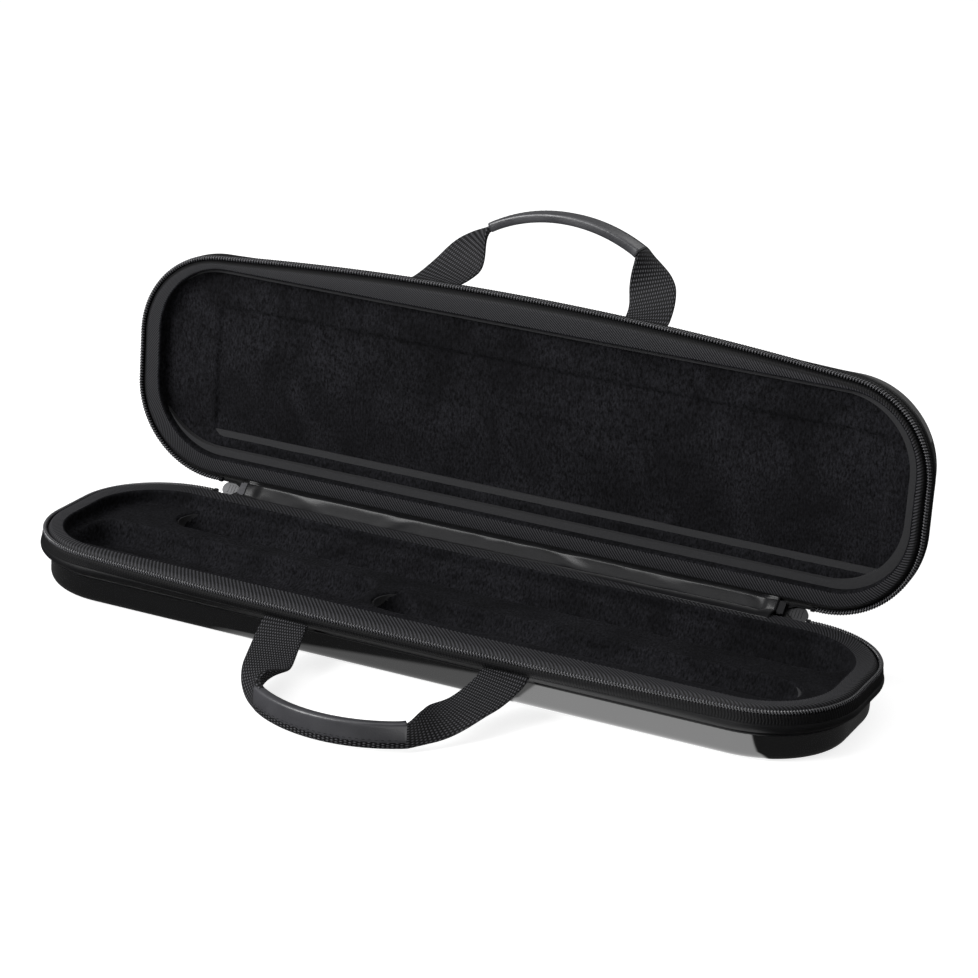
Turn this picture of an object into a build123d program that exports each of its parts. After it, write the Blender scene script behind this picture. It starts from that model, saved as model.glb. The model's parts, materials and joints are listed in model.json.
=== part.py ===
from build123d import *

import os
from math import asin, atan2, cos, pi, radians, sin

# Long zip case: two moulded shells on a fabric hinge, with fitted inserts, a zip and two webbing handles.
# Millimetres. X runs along the case, +Y points to the hinge side, +Z up. The origin is the centre of the
# base shell's flat underside. The lid is drawn as the base turned over, then swung open about the hinge.

# Outline of the zip line, seen from above.
case_length = 455.0
case_width = 126.6
corner_radius = 50.0
front_bow = 8.9

# Moulded shells.
shell_inset = 4.6
shell_wall = 2.0
shell_floor = 2.2
shell_height = 25.6
shell_bottom_radius = 8.0
shell_inner_radius = 5.0

# Zip tape band, welt and coil rows. Drops are below the shell's open edge.
band_foot_drop = 9.6
band_foot_inset = 4.0
band_shoulder_drop = 1.6
band_shoulder_inset = 0.4
welt_height = 2.2
welt_stand_out = 0.9
coil_height = 3.2
coil_width = 2.2
tooth_pitch = 6.5
tooth_depth = 1.0

# Twill ring and the plush opening inside it. Margins are inside the zip line.
tape_thickness = 1.0
tape_outer_inset = 2.4
opening_end_margin = 12.0
opening_rear_margin = 18.0
opening_front_margin = 9.3
opening_corner = 38.0
crest_rise = 4.2

# Foam and plush. Ends, starts and edges of the recesses are measured inside the opening.
plush = 1.2
bed_drop = 3.6
channel_radius = 12.5
rear_channel_ends = (39.5, 9.5)
rear_channel_from_rear = 15.3
front_channel_ends = (182.5, 17.5)
front_channel_from_front = 37.0
pocket_start = 6.5
pocket_length = 169.0
pocket_from_front = 39.0
pocket_width = 38.0
pocket_depth = 11.5
pocket_corner = 12.0
pocket_bottom_radius = 7.0
panel_ends = (37.5, 8.5)
panel_edges = (17.0, 10.3)
panel_depth = 5.0
panel_corner = 6.0
ledge_start = 12.5
ledge_length = 43.0
ledge_depth = 2.0
lower_panel_ends = (43.5, 127.5)
lower_panel_edges = (44.0, 12.3)
lower_panel_depth = 2.5

# Hinge.
hinge_behind = 1.6
hinge_above = 1.28
lid_open = 91.18
strip_end_margin = 76.0
strip_thickness = 0.8
strip_clearance = 0.2
strip_seam_inset = 9.0
outer_strip_drop = 3.1

# Sliders and pulls, beside the ends of the hinge strip.
notch_length = 23.0
notch_radius = 5.7
slider_gap = 0.4
slider_length = 7.6
slider_width = 6.8
slider_nose_width = 5.0
slider_bottom = -2.2
slider_top = 1.0
ear_thickness = 0.8
ear_gap = 5.9
pin_radius = 0.55
pin_out = 2.4
pin_from_nose = 5.2
pull_length = 14.2
pull_tab = 12.4
pull_width = 8.2
pull_thickness = 2.0
pull_ridge = 0.25
ridge_pitch = 1.8
ridge_count = 4
pull_side_gap = 0.15
pin_clearance = 0.07
stop_length = 2.0
stop_chamfer = 0.4

# Handles: roots under the band, webbing that turns on edge, and a sleeve round the grip.
handle_centre_x = 4.0
root_half_spread = 61.0
webbing_width = 25.0
webbing_thickness = 1.8
folded_width = 12.5
folded_thickness = 3.2
grip_half_length = 42.0
base_grip_reach = 69.5
base_grip_rise = 13.5
base_grip_drop = 12.4
base_leave_angle = 34.0
base_leave_pull = 30.0
base_join_pull = 18.0
lid_grip_reach = 30.0
lid_grip_rise = 11.0
lid_grip_drop = 25.5
lid_leave_angle = 95.0
lid_leave_pull = 22.0
lid_join_pull = 14.0
sleeve_wall = 1.0
webbing_edge_shown = 2.6
root_out = 9.74
root_drop = 4.99
anchor_start = 0.8
anchor_length = 6.7
anchor_thickness = 1.6
twist_start = 0.3
fold_end = 0.75
strap_steps = 10
grip_steps = 8

half_length = case_length / 2
half_width = case_width / 2
band_foot_height = shell_height - band_foot_drop
band_shoulder_height = shell_height - band_shoulder_drop
crest_height = shell_height + crest_rise
bed_height = shell_height - bed_drop
hinge_y = half_width + hinge_behind
hinge_z = shell_height + coil_height + hinge_above
hinge_axis = Axis((0, hinge_y, hinge_z), (1, 0, 0))
slider_tilt = lid_open / 2
strip_half_length = half_length - strip_end_margin
notch_outer_x = strip_half_length + notch_length
pivot_y = -(half_width - shell_inset + root_out)
pivot_z = shell_height - root_drop
opening_half_length = half_length - opening_end_margin
opening_rear = half_width - opening_rear_margin
opening_front = half_width - opening_front_margin


def rim_line(inset=0.0, bow=front_bow):
    """Closed outline in a line context: straight rear and ends, round corners, and a front that bows out."""
    rounded_line(half_length - inset, half_width - inset, half_width - inset, corner_radius - inset, bow)


def opening_line(inset=0.0):
    """Outline of the plush opening, with straight sides all round."""
    rounded_line(
        opening_half_length - inset,
        opening_rear - inset,
        opening_front - inset,
        opening_corner - inset,
        0.0,
    )


def rounded_line(reach, rear, front, radius, bow):
    """Four sides and four corner arcs. The front side is an arc that stands out by bow at its middle."""
    flat = reach - radius
    rear_centre = rear - radius
    front_centre = radius - front
    turn = 0.0
    if bow > 0:
        turn = asin(flat / ((flat**2 + bow**2) / (2 * bow)))
    corner_end = (flat + radius * sin(turn), front_centre - radius * cos(turn))
    corner_middle = (pi / 2 - turn) / 2
    rear_middle = radius * cos(pi / 4)
    Line((-flat, rear), (flat, rear))
    ThreePointArc((flat, rear), (flat + rear_middle, rear_centre + rear_middle), (reach, rear_centre))
    Line((reach, rear_centre), (reach, front_centre))
    middle = (flat + radius * cos(corner_middle), front_centre - radius * sin(corner_middle))
    ThreePointArc((reach, front_centre), middle, corner_end)
    if bow > 0:
        ThreePointArc(corner_end, (0, front_centre - radius - bow), (-corner_end[0], corner_end[1]))
    else:
        Line(corner_end, (-corner_end[0], corner_end[1]))
    ThreePointArc((-corner_end[0], corner_end[1]), (-middle[0], middle[1]), (-reach, front_centre))
    Line((-reach, front_centre), (-reach, rear_centre))
    ThreePointArc((-reach, rear_centre), (-flat - rear_middle, rear_centre + rear_middle), (-flat, rear))


def rim_face(height, inset=0.0, bow=front_bow):
    """Face inside the rim outline at one height."""
    with BuildSketch(Plane.XY.offset(height), mode=Mode.PRIVATE) as face:
        with BuildLine():
            rim_line(inset, bow)
        make_face()
    return face.sketch


def opening_face(height, inset=0.0):
    """Face inside the plush opening at one height."""
    with BuildSketch(Plane.XY.offset(height), mode=Mode.PRIVATE) as face:
        with BuildLine():
            opening_line(inset)
        make_face()
    return face.sketch


def write(piece, name):
    """Label one finished piece and write its STEP file."""
    piece.part.label = name
    export_step(piece.part, f"parts/{name}.step")


def turned_over(part):
    """The same piece on the lid: turned over about the seam plane, then swung open."""
    flipped = mirror(part, about=Plane.XY.offset(hinge_z), mode=Mode.PRIVATE)
    return flipped.rotate(hinge_axis, -lid_open)


def cut_notches():
    """Clear the rim round the hinge axis where the sliders and pulls move, at both ends of the strip."""
    span = notch_outer_x - strip_half_length
    middle = (notch_outer_x + strip_half_length) / 2
    with Locations((middle, hinge_y, hinge_z), (-middle, hinge_y, hinge_z)):
        Cylinder(notch_radius, span, rotation=(0, 90, 0), mode=Mode.SUBTRACT)


def make_hollow():
    """Inside of the moulded tray, from its floor to its open top."""
    with BuildPart() as hollow:
        extrude(rim_face(shell_floor, shell_inset + shell_wall, 0), amount=shell_height - shell_floor)
        fillet(hollow.edges().group_by(Axis.Z)[0], shell_inner_radius)
    return hollow.part


def make_shell(hollow):
    """Moulded tray with a rolled bottom edge, open at the top."""
    with BuildPart() as shell:
        extrude(rim_face(0, shell_inset, 0), amount=shell_height)
        fillet(shell.edges().group_by(Axis.Z)[0], shell_bottom_radius)
        add(hollow, mode=Mode.SUBTRACT)
    return shell.part


def make_band():
    """Tape band that flares from the shell's wall out to the zip line."""
    with BuildPart() as band:
        foot = rim_face(band_foot_height, band_foot_inset, 0)
        shoulder = rim_face(band_shoulder_height, band_shoulder_inset)
        loft([foot, shoulder], ruled=True)
        extrude(shoulder, amount=shell_height - band_shoulder_height)
        extrude(rim_face(0, shell_inset, 0), amount=shell_height, mode=Mode.SUBTRACT)
        cut_notches()
    return band.part


def make_welt():
    """Raised binding below the band, round the shell's wall."""
    with BuildPart() as welt:
        extrude(rim_face(band_foot_height - welt_height, shell_inset - welt_stand_out, 0), amount=welt_height)
        long_edges = welt.edges().filter_by(Axis.Z, reverse=True)
        chamfer(long_edges, welt_stand_out / 2)
        extrude(rim_face(0, shell_inset, 0), amount=shell_height, mode=Mode.SUBTRACT)
    return welt.part


def make_coil():
    """One row of the coil zip: a ring with a tooth at every pitch, open along the hinge."""
    with BuildLine() as path:
        rim_line(tooth_depth / 2)
    ring = path.wire()
    count = round(ring.length / tooth_pitch)
    points = []
    for step in range(4 * count):
        share = step / (4 * count)
        tip = tooth_depth / 2 if step % 4 < 2 else -tooth_depth / 2
        outward = ring.tangent_at(share).rotate(Axis.Z, 90)
        points.append(ring.position_at(share) + outward * tip)
    with BuildPart() as coil:
        with BuildSketch(Plane.XY.offset(shell_height)):
            with BuildLine():
                Polyline(*points, close=True)
            make_face()
            with BuildLine():
                rim_line(coil_width)
            make_face(mode=Mode.SUBTRACT)
        extrude(amount=coil_height)
        with Locations((0, half_width, shell_height)):
            Box(2 * notch_outer_x, half_width, 3 * coil_height, mode=Mode.SUBTRACT)
    return coil.part


def make_twill_ring():
    """Tape ring that climbs from the coil row to a crest at the plush opening."""
    rise = crest_height - tape_thickness - shell_height
    with BuildPart() as ring:
        extrude(rim_face(shell_height, tape_outer_inset), amount=tape_thickness)
        low = rim_face(shell_height + tape_thickness, tape_outer_inset)
        high = opening_face(shell_height + tape_thickness + rise)
        loft([low, high], ruled=True)
        under_low = rim_face(shell_height, tape_outer_inset)
        under_high = opening_face(shell_height + rise)
        loft([under_low, under_high], ruled=True, mode=Mode.SUBTRACT)
        extrude(opening_face(shell_height), amount=crest_height, mode=Mode.SUBTRACT)
        cut_notches()
    return ring.part


def make_stops():
    """End stops of one coil row, one at each end."""
    with BuildPart() as stops:
        middle = notch_outer_x - (stop_length + slider_gap) / 2
        across = half_width - coil_width / 2
        height = shell_height + coil_height / 2
        with Locations((middle, across, height), (-middle, across, height)):
            Box(stop_length, coil_width, coil_height)
        chamfer(stops.edges().filter_by(Axis.X), stop_chamfer)
    return stops.part


def along_opening(ends):
    """Span along the case between the given distances from the opening's two ends."""
    return (ends[0] - opening_half_length, opening_half_length - ends[1])


def across_opening(edges):
    """Span across the case between the given distances from the opening's front and rear edges."""
    return (edges[0] - opening_front, opening_rear - edges[1])


def cut_channel(span, across, radius):
    """Round-bottomed channel with ball ends, cut from the part being built."""
    start = span[0] + radius
    end = span[1] - radius
    with Locations(((start + end) / 2, across, bed_height)):
        Cylinder(radius, end - start, rotation=(0, 90, 0), mode=Mode.SUBTRACT)
    with Locations((start, across, bed_height), (end, across, bed_height)):
        Sphere(radius, mode=Mode.SUBTRACT)


def pocket(span_x, span_y, depth, corner, grow=0.0, bottom=0.0):
    """Rounded pocket below the bed, made larger all round by grow."""
    length = span_x[1] - span_x[0] + 2 * grow
    width = span_y[1] - span_y[0] + 2 * grow
    with BuildPart(mode=Mode.PRIVATE) as cavity:
        with BuildSketch(Plane.XY.offset(bed_height - depth - grow)):
            with Locations(((span_x[0] + span_x[1]) / 2, (span_y[0] + span_y[1]) / 2)):
                RectangleRounded(length, width, corner + grow)
        extrude(amount=depth + grow + plush)
        if bottom > 0:
            fillet(cavity.edges().group_by(Axis.Z)[0], bottom + grow)
    return cavity.part


def cut_base_bed(grow=0.0):
    """The channels and the pocket of the base."""
    rear_y = opening_rear - rear_channel_from_rear
    front_y = front_channel_from_front - opening_front
    cut_channel(along_opening(rear_channel_ends), rear_y, channel_radius + grow)
    cut_channel(along_opening(front_channel_ends), front_y, channel_radius + grow)
    start = pocket_start - opening_half_length
    middle = pocket_from_front - opening_front
    span_x = (start, start + pocket_length)
    span_y = (middle - pocket_width / 2, middle + pocket_width / 2)
    add(pocket(span_x, span_y, pocket_depth, pocket_corner, grow, pocket_bottom_radius), mode=Mode.SUBTRACT)


def cut_lid_bed(grow=0.0):
    """The stepped panels of the lid: a ledge at one end, the main panel and a lower panel in it."""
    start = ledge_start - opening_half_length
    panel_y = across_opening(panel_edges)
    add(pocket((start, start + ledge_length), panel_y, ledge_depth, panel_corner, grow), mode=Mode.SUBTRACT)
    add(pocket(along_opening(panel_ends), panel_y, panel_depth, panel_corner, grow), mode=Mode.SUBTRACT)
    lower_x = along_opening(lower_panel_ends)
    lower_y = across_opening(lower_panel_edges)
    deep = panel_depth + lower_panel_depth
    add(pocket(lower_x, lower_y, deep, panel_corner, grow), mode=Mode.SUBTRACT)


def make_insert(hollow, cut_bed):
    """Foam block that fills the shell, with a well for the plush and the bed cut into it."""
    with BuildPart() as insert:
        add(hollow)
        extrude(opening_face(bed_height - plush), amount=shell_height, mode=Mode.SUBTRACT)
        cut_bed(plush)
    return insert.part


def make_lining(cut_bed, insert):
    """Plush skin over the bed and up the wall of the well."""
    foot = shell_floor + shell_inner_radius
    with BuildPart() as lining:
        extrude(opening_face(foot), amount=crest_height - foot)
        extrude(opening_face(bed_height, plush), amount=shell_height, mode=Mode.SUBTRACT)
        cut_bed(0.0)
        add(insert, mode=Mode.SUBTRACT)
    return lining.part


def strip_point(y, z):
    """Where a point of the base side lies on the lid side, with the lid open."""
    back = y - hinge_y
    below = hinge_z - z
    turn = radians(lid_open)
    return (
        hinge_y + back * cos(turn) + below * sin(turn),
        hinge_z - back * sin(turn) + below * cos(turn),
    )


def strip_section(base_points):
    """Strip with the base points, the same points on the lid, and one run between them."""
    lid_points = [strip_point(*point) for point in reversed(base_points)]
    points = base_points + lid_points
    with BuildPart() as strip:
        with BuildSketch(Plane.YZ.offset(-strip_half_length)):
            with BuildLine():
                Polyline(*points)
            trace(line_width=strip_thickness)
        extrude(amount=2 * strip_half_length)
    return strip.part


def twill_top(y):
    """Height of the twill ring's top at the rear, at one distance from the middle."""
    outer = half_width - tape_outer_inset
    climb = (crest_height - tape_thickness - shell_height) / (outer - opening_rear)
    return shell_height + tape_thickness + (outer - y) * climb


def slider_place(side):
    """Plane at the hinge axis beside the strip: x away from the strip, z outwards from the case."""
    tilt = radians(slider_tilt)
    origin = (side * (strip_half_length + slider_gap), hinge_y, hinge_z)
    return Plane(origin=origin, x_dir=(side, 0, 0), z_dir=(0, cos(tilt), -sin(tilt)))


def pin_place(side):
    """Plane across the pull's pin, with its normal along the pin."""
    place = slider_place(side)
    centre = place.from_local_coords((pin_from_nose, 0, pin_out))
    return Plane(origin=centre, x_dir=place.x_dir, z_dir=place.y_dir)


def make_pin(side):
    """Pin of the pull, across the slider's ears."""
    with BuildPart() as pin:
        with BuildSketch(pin_place(side)):
            Circle(pin_radius)
        extrude(amount=ear_gap / 2 + ear_thickness, both=True)
    return pin.part


def make_slider(side):
    """Slider body, wider where the rows enter, with two ears for the pull's pin."""
    place = slider_place(side)
    ear_y = (ear_gap + ear_thickness) / 2
    with BuildPart() as slider:
        with BuildSketch(place.offset(slider_bottom)):
            with BuildLine():
                Polyline(
                    (0, -slider_nose_width / 2),
                    (slider_length, -slider_width / 2),
                    (slider_length, slider_width / 2),
                    (0, slider_nose_width / 2),
                    close=True,
                )
            make_face()
        extrude(amount=slider_top - slider_bottom)
        with BuildSketch(place.offset(slider_bottom)):
            with Locations((pin_from_nose, ear_y), (pin_from_nose, -ear_y)):
                Rectangle(4 * pin_radius, ear_thickness)
        extrude(amount=pin_out + 2 * pin_radius - slider_bottom)
        add(make_pin(side), mode=Mode.SUBTRACT)
    return slider.part


def make_pull(side):
    """Soft pull: a knuckle on the pin, a neck, and a rounded tab with cross ridges."""
    place = slider_place(side)
    low = pin_out - pull_thickness / 2
    knuckle = ear_gap - 2 * pull_side_gap
    with BuildPart() as pull:
        with BuildSketch(place.offset(low)):
            with Locations((pin_from_nose + pull_length - pull_tab / 2, 0)):
                SlotOverall(pull_tab, pull_width)
            with Locations((pin_from_nose + pull_length / 4, 0)):
                Rectangle(pull_length / 2, knuckle)
        extrude(amount=pull_thickness)
        with BuildSketch(pin_place(side)):
            Circle(pull_thickness / 2)
        extrude(amount=knuckle / 2, both=True)
        with BuildSketch(place.offset(low - pull_ridge)):
            with Locations((pin_from_nose + pull_length - pull_tab / 2, 0)):
                with GridLocations(ridge_pitch, 0, ridge_count, 1):
                    Rectangle(ridge_pitch / 2, pull_width - 2 * ridge_pitch)
        extrude(amount=pull_thickness + 2 * pull_ridge)
        with BuildSketch(pin_place(side)):
            Circle(pin_radius + pin_clearance)
        extrude(amount=knuckle, both=True, mode=Mode.SUBTRACT)
    return pull.part


def handle_point(u, v, n):
    """Point of a handle in the case's frame: u along the case, v out from the root, n away from the seam."""
    return Vector(handle_centre_x + u, pivot_y - v, pivot_z - n)


def handle_vector(u, v, n):
    """Direction of a handle in the case's frame."""
    return Vector(u, -v, -n)


def arch_angle(rise):
    """Slope of the grip's arc at its ends."""
    return 2 * atan2(rise, grip_half_length)


def strap_plane(share, reach, rise, drop, leave_angle, leave_pull, join_pull):
    """Plane across the left strap at a share of its way, on a cubic curve that ends with a quarter twist."""
    slope = arch_angle(rise)
    leave = radians(leave_angle)
    start = Vector(-root_half_spread, 0, 0)
    first = start + Vector(0, cos(leave), sin(leave)) * leave_pull
    end = Vector(-grip_half_length, reach, drop)
    second = end - Vector(cos(slope), sin(slope), 0) * join_pull
    back = 1 - share
    centre = start * back**3 + first * (3 * back**2 * share) + second * (3 * back * share**2) + end * share**3
    run = (first - start) * back**2 + (second - first) * (2 * back * share) + (end - second) * share**2
    run = run.normalized()
    turn = pi / 2 * smooth(max(0, (share - twist_start) / (1 - twist_start)))
    across = Vector(cos(turn), 0, sin(turn))
    across = (across - run * across.dot(run)).normalized()
    return Plane(
        origin=handle_point(*centre),
        x_dir=handle_vector(*across),
        z_dir=handle_vector(*run),
    )


def smooth(share):
    """Rises from 0 to 1 with level ends."""
    return share * share * (3 - 2 * share)


def grip_plane(share, reach, rise, drop):
    """Plane across the grip at a share of its arc, from the left end to the right."""
    slope = arch_angle(rise)
    radius = grip_half_length / sin(slope)
    angle = slope * (2 * share - 1)
    centre = (radius * sin(angle), reach + radius * (cos(angle) - cos(slope)), drop)
    return Plane(
        origin=handle_point(*centre),
        x_dir=handle_vector(0, 0, 1),
        z_dir=handle_vector(cos(angle), -sin(angle), 0),
    )


def across_handle(plane):
    """The same plane on the other side of the handle's middle, facing onwards."""
    origin = plane.origin
    return Plane(
        origin=(2 * handle_centre_x - origin.X, origin.Y, origin.Z),
        x_dir=(-plane.x_dir.X, plane.x_dir.Y, plane.x_dir.Z),
        z_dir=(plane.z_dir.X, -plane.z_dir.Y, -plane.z_dir.Z),
    )


def make_webbing(reach, rise, drop, leave_angle, leave_pull, join_pull):
    """Webbing from root to root: flat at the roots, turned on edge and folded double in the grip."""
    shares = [step / strap_steps for step in range(strap_steps + 1)]
    left = [strap_plane(t, reach, rise, drop, leave_angle, leave_pull, join_pull) for t in shares]
    middle = [grip_plane(step / grip_steps, reach, rise, drop) for step in range(1, grip_steps)]
    right = [across_handle(plane) for plane in reversed(left)]
    folds = [smooth(min(1, t / fold_end)) for t in shares]
    folds = folds + [1.0] * len(middle) + folds[::-1]
    with BuildPart() as webbing:
        for plane, fold in zip(left + middle + right, folds):
            width = webbing_width + (folded_width - webbing_width) * fold
            thickness = webbing_thickness + (folded_thickness - webbing_thickness) * fold
            with BuildSketch(plane):
                Rectangle(width, thickness)
        loft(ruled=True)
        roots = [handle_point(-root_half_spread, 0, 0), handle_point(root_half_spread, 0, 0)]
        with Locations(*roots):
            Cylinder(webbing_thickness / 2, webbing_width, rotation=(0, 90, 0))
    return webbing.part


def make_sleeve(webbing, reach, rise, drop):
    """Leatherette sleeve over the folded webbing, open along one edge where the webbing shows."""
    width = folded_width + sleeve_wall - webbing_edge_shown
    shift = -(sleeve_wall + webbing_edge_shown) / 2
    with BuildPart() as sleeve:
        for step in range(grip_steps + 1):
            with BuildSketch(grip_plane(step / grip_steps, reach, rise, drop)):
                with Locations((shift, 0)):
                    Rectangle(width, folded_thickness + 2 * sleeve_wall)
        loft(ruled=True)
        add(webbing, mode=Mode.SUBTRACT)
    return sleeve.part


def make_anchors(band):
    """Sewn-in ends of the webbing, flat against the underside of the band."""
    foot_y = -(half_width - band_foot_inset)
    shoulder_y = -(half_width - band_shoulder_inset + front_bow * (1 - (root_half_spread / half_length) ** 2))
    run = Vector(0, shoulder_y - foot_y, band_shoulder_height - band_foot_height).normalized()
    away = Vector(0, -run.Z, run.Y)
    with BuildPart() as anchors:
        for side in (-1, 1):
            foot = Vector(handle_centre_x + side * root_half_spread, foot_y, band_foot_height)
            middle = foot + run * (anchor_start + anchor_length / 2)
            with BuildSketch(Plane(origin=middle, x_dir=(1, 0, 0), z_dir=away)):
                Rectangle(webbing_width, anchor_length)
            extrude(amount=anchor_thickness, both=True)
        add(band, mode=Mode.SUBTRACT)
    return anchors.part


os.makedirs("parts", exist_ok=True)

hollow = make_hollow()
shell = make_shell(hollow)
band = make_band()
base_pieces = {
    "shell": shell,
    "band": band,
    "welt": make_welt(),
    "zip_coil": make_coil(),
    "twill_ring": make_twill_ring(),
    "zip_stops": make_stops(),
    "handle_anchors": make_anchors(band),
}
for name, piece in base_pieces.items():
    with BuildPart() as base_piece:
        add(piece)
    write(base_piece, "base_" + name)
    with BuildPart() as lid_piece:
        add(turned_over(piece))
    write(lid_piece, "lid_" + name)

with BuildPart() as base_insert:
    add(make_insert(hollow, cut_base_bed))
write(base_insert, "base_insert")
with BuildPart() as base_lining:
    add(make_lining(cut_base_bed, base_insert.part))
write(base_lining, "base_lining")

plain_lid_insert = make_insert(hollow, cut_lid_bed)
with BuildPart() as lid_insert:
    add(turned_over(plain_lid_insert))
write(lid_insert, "lid_insert")
with BuildPart() as lid_lining:
    add(turned_over(make_lining(cut_lid_bed, plain_lid_insert)))
write(lid_lining, "lid_lining")

strip_lift = strip_thickness / 2 + strip_clearance
tape_y = half_width - tape_outer_inset
seam_y = half_width - strip_seam_inset
front_foot = (seam_y, twill_top(seam_y) + strip_lift)
front_top = (tape_y + strip_thickness, twill_top(tape_y) + strip_lift)
back_foot = (half_width - band_shoulder_inset + strip_thickness, shell_height - outer_strip_drop)
back_top = (half_width + strip_thickness, shell_height)
with BuildPart() as hinge_strip:
    add(strip_section([front_foot, front_top]))
write(hinge_strip, "hinge_strip")
with BuildPart() as hinge_back_strip:
    add(strip_section([back_foot, back_top]))
write(hinge_back_strip, "hinge_back_strip")

for side, word in ((-1, "left"), (1, "right")):
    with BuildPart() as slider:
        add(make_slider(side))
    write(slider, word + "_slider")
    with BuildPart() as pin:
        add(make_pin(side))
    write(pin, word + "_pull_pin")
    with BuildPart() as pull:
        add(make_pull(side))
    write(pull, word + "_pull")

with BuildPart() as base_handle_webbing:
    add(
        make_webbing(
            base_grip_reach, base_grip_rise, base_grip_drop, base_leave_angle, base_leave_pull, base_join_pull
        )
    )
write(base_handle_webbing, "base_handle_webbing")
with BuildPart() as base_handle_sleeve:
    add(make_sleeve(base_handle_webbing.part, base_grip_reach, base_grip_rise, base_grip_drop))
write(base_handle_sleeve, "base_handle_sleeve")

plain_webbing = make_webbing(
    lid_grip_reach, lid_grip_rise, lid_grip_drop, lid_leave_angle, lid_leave_pull, lid_join_pull
)
with BuildPart() as lid_handle_webbing:
    add(turned_over(plain_webbing))
write(lid_handle_webbing, "lid_handle_webbing")
with BuildPart() as lid_handle_sleeve:
    add(turned_over(make_sleeve(plain_webbing, lid_grip_reach, lid_grip_rise, lid_grip_drop)))
write(lid_handle_sleeve, "lid_handle_sleeve")
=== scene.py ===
import json
import math
import bmesh
import bpy
import numpy as np
from mathutils import Matrix, Vector


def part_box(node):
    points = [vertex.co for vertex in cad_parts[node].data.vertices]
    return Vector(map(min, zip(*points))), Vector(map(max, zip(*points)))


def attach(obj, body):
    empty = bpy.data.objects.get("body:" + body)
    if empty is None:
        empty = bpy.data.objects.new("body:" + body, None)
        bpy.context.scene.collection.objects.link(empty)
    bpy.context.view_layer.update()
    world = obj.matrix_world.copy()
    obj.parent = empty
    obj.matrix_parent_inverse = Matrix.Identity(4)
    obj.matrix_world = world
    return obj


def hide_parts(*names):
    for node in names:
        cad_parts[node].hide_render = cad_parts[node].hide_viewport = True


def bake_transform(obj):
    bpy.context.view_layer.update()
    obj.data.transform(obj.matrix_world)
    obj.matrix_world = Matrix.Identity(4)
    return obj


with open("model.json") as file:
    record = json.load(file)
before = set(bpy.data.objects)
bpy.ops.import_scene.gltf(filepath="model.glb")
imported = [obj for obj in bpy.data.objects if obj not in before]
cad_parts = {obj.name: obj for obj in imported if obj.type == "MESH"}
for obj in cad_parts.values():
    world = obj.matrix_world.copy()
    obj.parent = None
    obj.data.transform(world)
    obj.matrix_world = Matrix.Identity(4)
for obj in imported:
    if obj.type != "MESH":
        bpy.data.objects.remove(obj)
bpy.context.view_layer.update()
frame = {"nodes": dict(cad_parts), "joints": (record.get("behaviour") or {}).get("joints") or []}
print("frame loaded")

mm = 0.001

# sizes in millimetres, as on the CAD model
rimShape = {"reach": 227.5, "rear": 63.3, "front": 63.3, "corner": 50.0, "bow": 8.9, "shift": 0.0}
openingShapes = {
    "base": {"reach": 215.5, "rear": 45.3, "front": 54.0, "corner": 38.0, "bow": 0.0, "shift": 0.0},
    "lid": {"reach": 217.6, "rear": 50.3, "front": 57.0, "corner": 40.0, "bow": 0.0, "shift": 2.9},
}
seam = {"shellTop": 25.6, "coilTop": 28.8, "bed": 22.0, "crest": 29.8}

lidHinge = [joint for joint in frame["joints"] if joint["name"] == "lid_hinge"][0]
hinge = {
    "y": lidHinge["pos_m"][1] / mm,
    "z": lidHinge["pos_m"][2] / mm,
    "open": math.radians(-lidHinge["range_deg"][0]),
    "stripEnd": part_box("hinge_strip")[1].x / mm,
    "notchEnd": 174.5,
}


def smoothStep(t):
    # rises from 0 to 1 with level ends
    t = np.clip(t, 0.0, 1.0)
    return t * t * (3.0 - 2.0 * t)


def hashNoise(u, v, seed):
    # smooth noise: random values on a whole-number lattice, joined by smooth steps
    iu, iv = np.floor(u), np.floor(v)
    fu, fv = smoothStep(u - iu), smoothStep(v - iv)

    def corner(a, b):
        value = np.sin(a * 127.1 + b * 311.7 + seed * 74.7) * 43758.5453
        return value - np.floor(value)

    low = corner(iu, iv) * (1 - fu) + corner(iu + 1, iv) * fu
    high = corner(iu, iv + 1) * (1 - fu) + corner(iu + 1, iv + 1) * fu
    return (low * (1 - fv) + high * fv) * 2.0 - 1.0


def segmentLengths(shape):
    # half the outline, from the front middle to the rear middle: front arc, corner, end, corner, rear
    flat = shape["reach"] - shape["corner"]
    turn = 2.0 * math.atan2(shape["bow"], flat)
    bowRadius = flat / math.sin(turn) + shape["corner"] if turn > 0 else 0.0
    front = turn * bowRadius if turn > 0 else flat
    end = shape["front"] + shape["rear"] - 2.0 * shape["corner"]
    return np.array([front, (math.pi / 2 - turn) * shape["corner"], end, math.pi / 2 * shape["corner"], flat])


def outlineSteps(shape, spacing, reachLimit=None):
    # places along the outline, in millimetres from the front middle, negative to the left
    lengths = segmentLengths(shape)
    knots = np.concatenate([[0.0], np.cumsum(lengths)])
    stops = [knots[0]]
    for start, end in zip(knots[:-1], knots[1:]):
        count = max(2, int(round((end - start) / spacing)))
        stops.extend(np.linspace(start, end, count + 1)[1:])
    half = np.array(stops)
    if reachLimit is not None:
        half = half[half <= knots[-1] - reachLimit]
    return np.concatenate([-half[:0:-1], half])


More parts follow.
